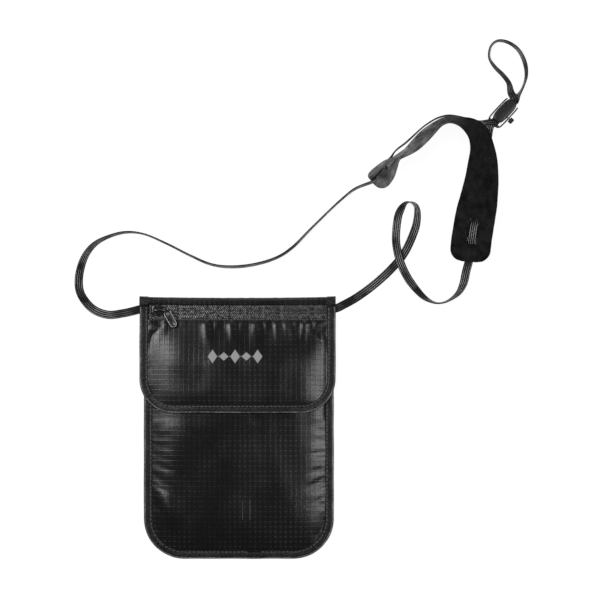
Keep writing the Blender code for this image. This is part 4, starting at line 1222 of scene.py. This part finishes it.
def neck_pad():
    """Brushed strip with rounded ends; its slits part just enough for the webbing."""
    coarse, fine = 1.25, 0.5
    stations = [-PAD_TIP]
    while stations[-1] < PAD_LENGTH - coarse:
        s = stations[-1]
        by_slit = min(abs(s - slit) for slit in PAD_SLITS) < 4.5
        by_end = min(s, PAD_LENGTH - s) < PAD_CORNER
        stations.append(s + (fine if by_slit or by_end else coarse))
    stations.append(PAD_LENGTH)
    half_columns = 14
    rows = []
    for s in stations:
        centre, width, face, _ = pad_frame(s)
        into = max(min(s + PAD_TIP, PAD_LENGTH - s, PAD_CORNER), 0.0)
        half = PAD_HALF_WIDTH - PAD_CORNER + math.sqrt(max(PAD_CORNER ** 2 - (PAD_CORNER - into) ** 2, 0.0))
        curl = 1.0 * math.exp(-((PAD_LENGTH - s) / 30) ** 2) + 0.7
        crease = 3.6 * math.exp(-(max(s, 0) / 24) ** 2)
        row = []
        for j in range(-half_columns, half_columns + 1):
            u = j / half_columns
            v = half * u
            lift = curl * (v / PAD_HALF_WIDTH) ** 2 - 0.2 * curl
            ripple = 0.18 * wave(s, v * 1.5, 14, 70)
            row.append(centre + width * (v + 0.12 * wave(s, 0, 6, 71 + (u > 0)) * abs(u) ** 6)
                       + face * (lift * ease(abs(v) / 5) + crease * max(abs(v) - 3.6, 0) / 10.6 + ripple))
        rows.append(row)
    pad = skin("neck_felt_pad", rows, FELT, outward=False)
    bm = bmesh.new()
    bm.from_mesh(pad.data)
    bm.faces.ensure_lookup_table()
    columns = 2 * half_columns
    gone = []
    for i in range(len(stations) - 1):
        middle = (stations[i] + stations[i + 1]) / 2
        for j in range(columns):
            v = PAD_HALF_WIDTH * (j + 0.5 - half_columns) / half_columns
            if abs(v) < SLIT_HALF_WIDTH and any(abs(middle - slit) < SLIT_REACH for slit in PAD_SLITS):
                gone.append(bm.faces[i * columns + j])
    bmesh.ops.delete(bm, geom=gone, context="FACES")
    loose = [v for v in bm.verts if not v.link_faces]
    bmesh.ops.delete(bm, geom=loose, context="VERTS")
    bm.to_mesh(pad.data)
    bm.free()
    thicken(pad, PAD_THICK + 0.1)
    soften(pad, 0.5, 2, 50)
    belongs(pad, "pouch", "neck_pad")
    return pad


# ------------------------------------------------------------ cord lock

def lock_outline(length, width, steps=20):
    points = []
    for i in range(2 * steps):
        turn = math.pi * (i + 0.5) / steps
        c, s = math.cos(turn), math.sin(turn)
        points.append((length / 2 * math.copysign(abs(c) ** 0.62, c),
                       width / 2 * math.copysign(abs(s) ** 0.78, s)))
    return points


# The channel for the two strands: longer than the shells, wider than the webbing, taller than both strands
STRAND_CHANNEL = Vector((40.0, 7.2, 3.7))
# The button in the lock's own frame: where it lies along the lock, and its outer and inner faces
BUTTON_ALONG, BUTTON_HALF_WIDTH, BUTTON_FACES = -2.1, 1.8, (-9.5, -6.5)


def cord_lock():
    """Moulded shells with a channel for both strands, an outer clip and a square button."""
    low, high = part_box("lock_shell_lower")[0] / MM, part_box("lock_shell_upper")[1] / MM
    centre = (low + high) / 2
    centre.z = 0
    height = high.z
    angle = math.atan2(LOCK_AXIS.y, LOCK_AXIS.x)
    turn = Matrix.Translation(centre * MM) @ Matrix.Rotation(angle, 4, "Z")
    outline = lock_outline(20.0, 9.2)
    middle = height / 2
    shells = []
    upper_levels = ((middle + 0.1, 0.25), (middle + 0.25, 0.02), (height - 1.1, 0.0), (height - 0.5, 0.25),
                    (height - 0.15, 0.8), (height, 1.6), (height + 0.12, 3.0))
    lower_levels = ((0.05, 1.4), (0.2, 0.7), (0.55, 0.2), (1.1, 0.0), (middle - 0.25, 0.02),
                    (middle - 0.1, 0.25))
    for name, levels, source in (("lock_upper_shell", upper_levels, "lock_shell_upper"),
                                 ("lock_lower_shell", lower_levels, "lock_shell_lower")):
        shell = disc_loft(name, outline, levels, PLASTIC)
        channel = bpy.data.meshes.new(name + "_channel")
        bm = bmesh.new()
        bmesh.ops.create_cube(bm, size=1.0)
        bmesh.ops.scale(bm, vec=STRAND_CHANNEL * MM, verts=bm.verts)
        bmesh.ops.translate(bm, vec=(0, 0, (middle - 0.2) * MM), verts=bm.verts)
        bm.to_mesh(channel)
        bm.free()
        cutter = bpy.data.objects.new(name + "_channel", channel)
        bpy.context.scene.collection.objects.link(cutter)
        cut = shell.modifiers.new("channel", "BOOLEAN")
        cut.object = cutter
        cut.solver = "EXACT"
        bake(shell)
        bpy.data.objects.remove(cutter)
        shell.data.set_sharp_from_angle(angle=math.radians(40))
        shell.matrix_world = turn
        belongs(shell, "cord_lock", source)
        shells.append(shell)

    clip = lock_clip(turn)
    near, far = BUTTON_ALONG - BUTTON_HALF_WIDTH, BUTTON_ALONG + BUTTON_HALF_WIDTH
    outer, inner = BUTTON_FACES
    button_levels = ((1.2, 0.3), (1.45, 0.0), (4.5, 0.0), (4.75, 0.15), (4.85, 0.5), (4.8, 1.0))
    square = rounded([(near, outer), (far, outer), (far, inner), (near, inner)], 0.5)
    button = disc_loft("lock_square_button", square, button_levels, DARK_PLASTIC)
    stem = tube("lock_button_stem", [(BUTTON_ALONG, y, middle) for y in (-6.9, -6.4, -4.4, -4.1)],
                0.42, DARK_PLASTIC)
    for piece in (button, stem):
        piece.matrix_world = turn
        belongs(piece, "lock_button")
    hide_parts("lock_button")
    return [*shells, clip, button, stem, button_spring(turn, middle)], centre


def button_spring(turn, middle):
    """A small coil round the button's stem."""
    inner, outer, coil_radius, wire, turns = -5.1, -6.15, 0.72, 0.08, 4
    rows = []
    count = 24 * turns
    for i in range(count + 1):
        share = i / count
        way = 2 * math.pi * turns * share
        radial = Vector((math.cos(way), 0, math.sin(way)))
        centre = Vector((BUTTON_ALONG, inner + (outer - inner) * share, middle)) + radial * coil_radius
        rows.append([centre + radial * wire * math.cos(2 * math.pi * k / 8)
                     + Vector((0, 1, 0)) * wire * math.sin(2 * math.pi * k / 8) for k in range(8)])
    spring = skin("lock_button_spring", rows, STEEL, wrap=True, caps=True)
    spring.matrix_world = turn
    belongs(spring, "cord_lock", "lock_spring")
    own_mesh(spring)
    return spring


def lock_clip(turn):
    """The clip's foot under the strands and its two bowed arms."""
    reach, inner, outer = 8.4, 5.0, 6.0
    path = [(reach, -inner - 0.1), (6.2, -outer + 0.5), (0.0, -outer + 0.4), (-7.0, -outer + 0.4),
            (-10.6, -outer + 0.9), (-12.0, -3.4), (-12.2, 0.0), (-12.0, 3.4), (-10.6, outer - 1.3),
            (-7.0, outer - 0.8), (0.0, outer - 0.75), (6.2, outer - 0.9), (reach, inner - 0.3)]
    fine = smooth_path([(x, y, 0.62) for x, y in path], 0.8)
    clip = tube("lock_outer_clip", fine, 0.5, PLASTIC, sides=12)
    foot_outline = rounded([(-12.4, -4.2), (-10.3, -5.0), (-10.3, 5.0), (-12.4, 4.2)], 0.6)
    foot_levels = ((0.1, 0.25), (0.25, 0.0), (0.95, 0.0), (1.1, 0.15), (1.15, 0.4))
    foot = disc_loft("lock_clip_foot", foot_outline, foot_levels, PLASTIC)
    for piece in (clip, foot):
        piece.matrix_world = turn
        belongs(piece, "cord_lock")
    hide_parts("lock_clip")
    return clip


def small_fittings():
    """CAD nodes that keep their shape take a finished material."""
    for name, material in (("zip_coil_upper", COIL), ("zip_coil_lower", COIL), ("zip_stop_left", ENAMEL),
                           ("zip_stop_right", ENAMEL)):
        data = frame["nodes"][name].data
        data.materials.clear()
        data.materials.append(material)


make_studio()
front_surface, flap_surface = pieces_of_cloth()
fold_strip()
hidden_pieces(front_surface)
emblem(flap_surface)
zip_tapes(flap_surface)
slider()
pull_tab()
pad_piece = neck_pad()
lock_parts, lock_centre = cord_lock()
neck_strap(lock_centre)
small_fittings()
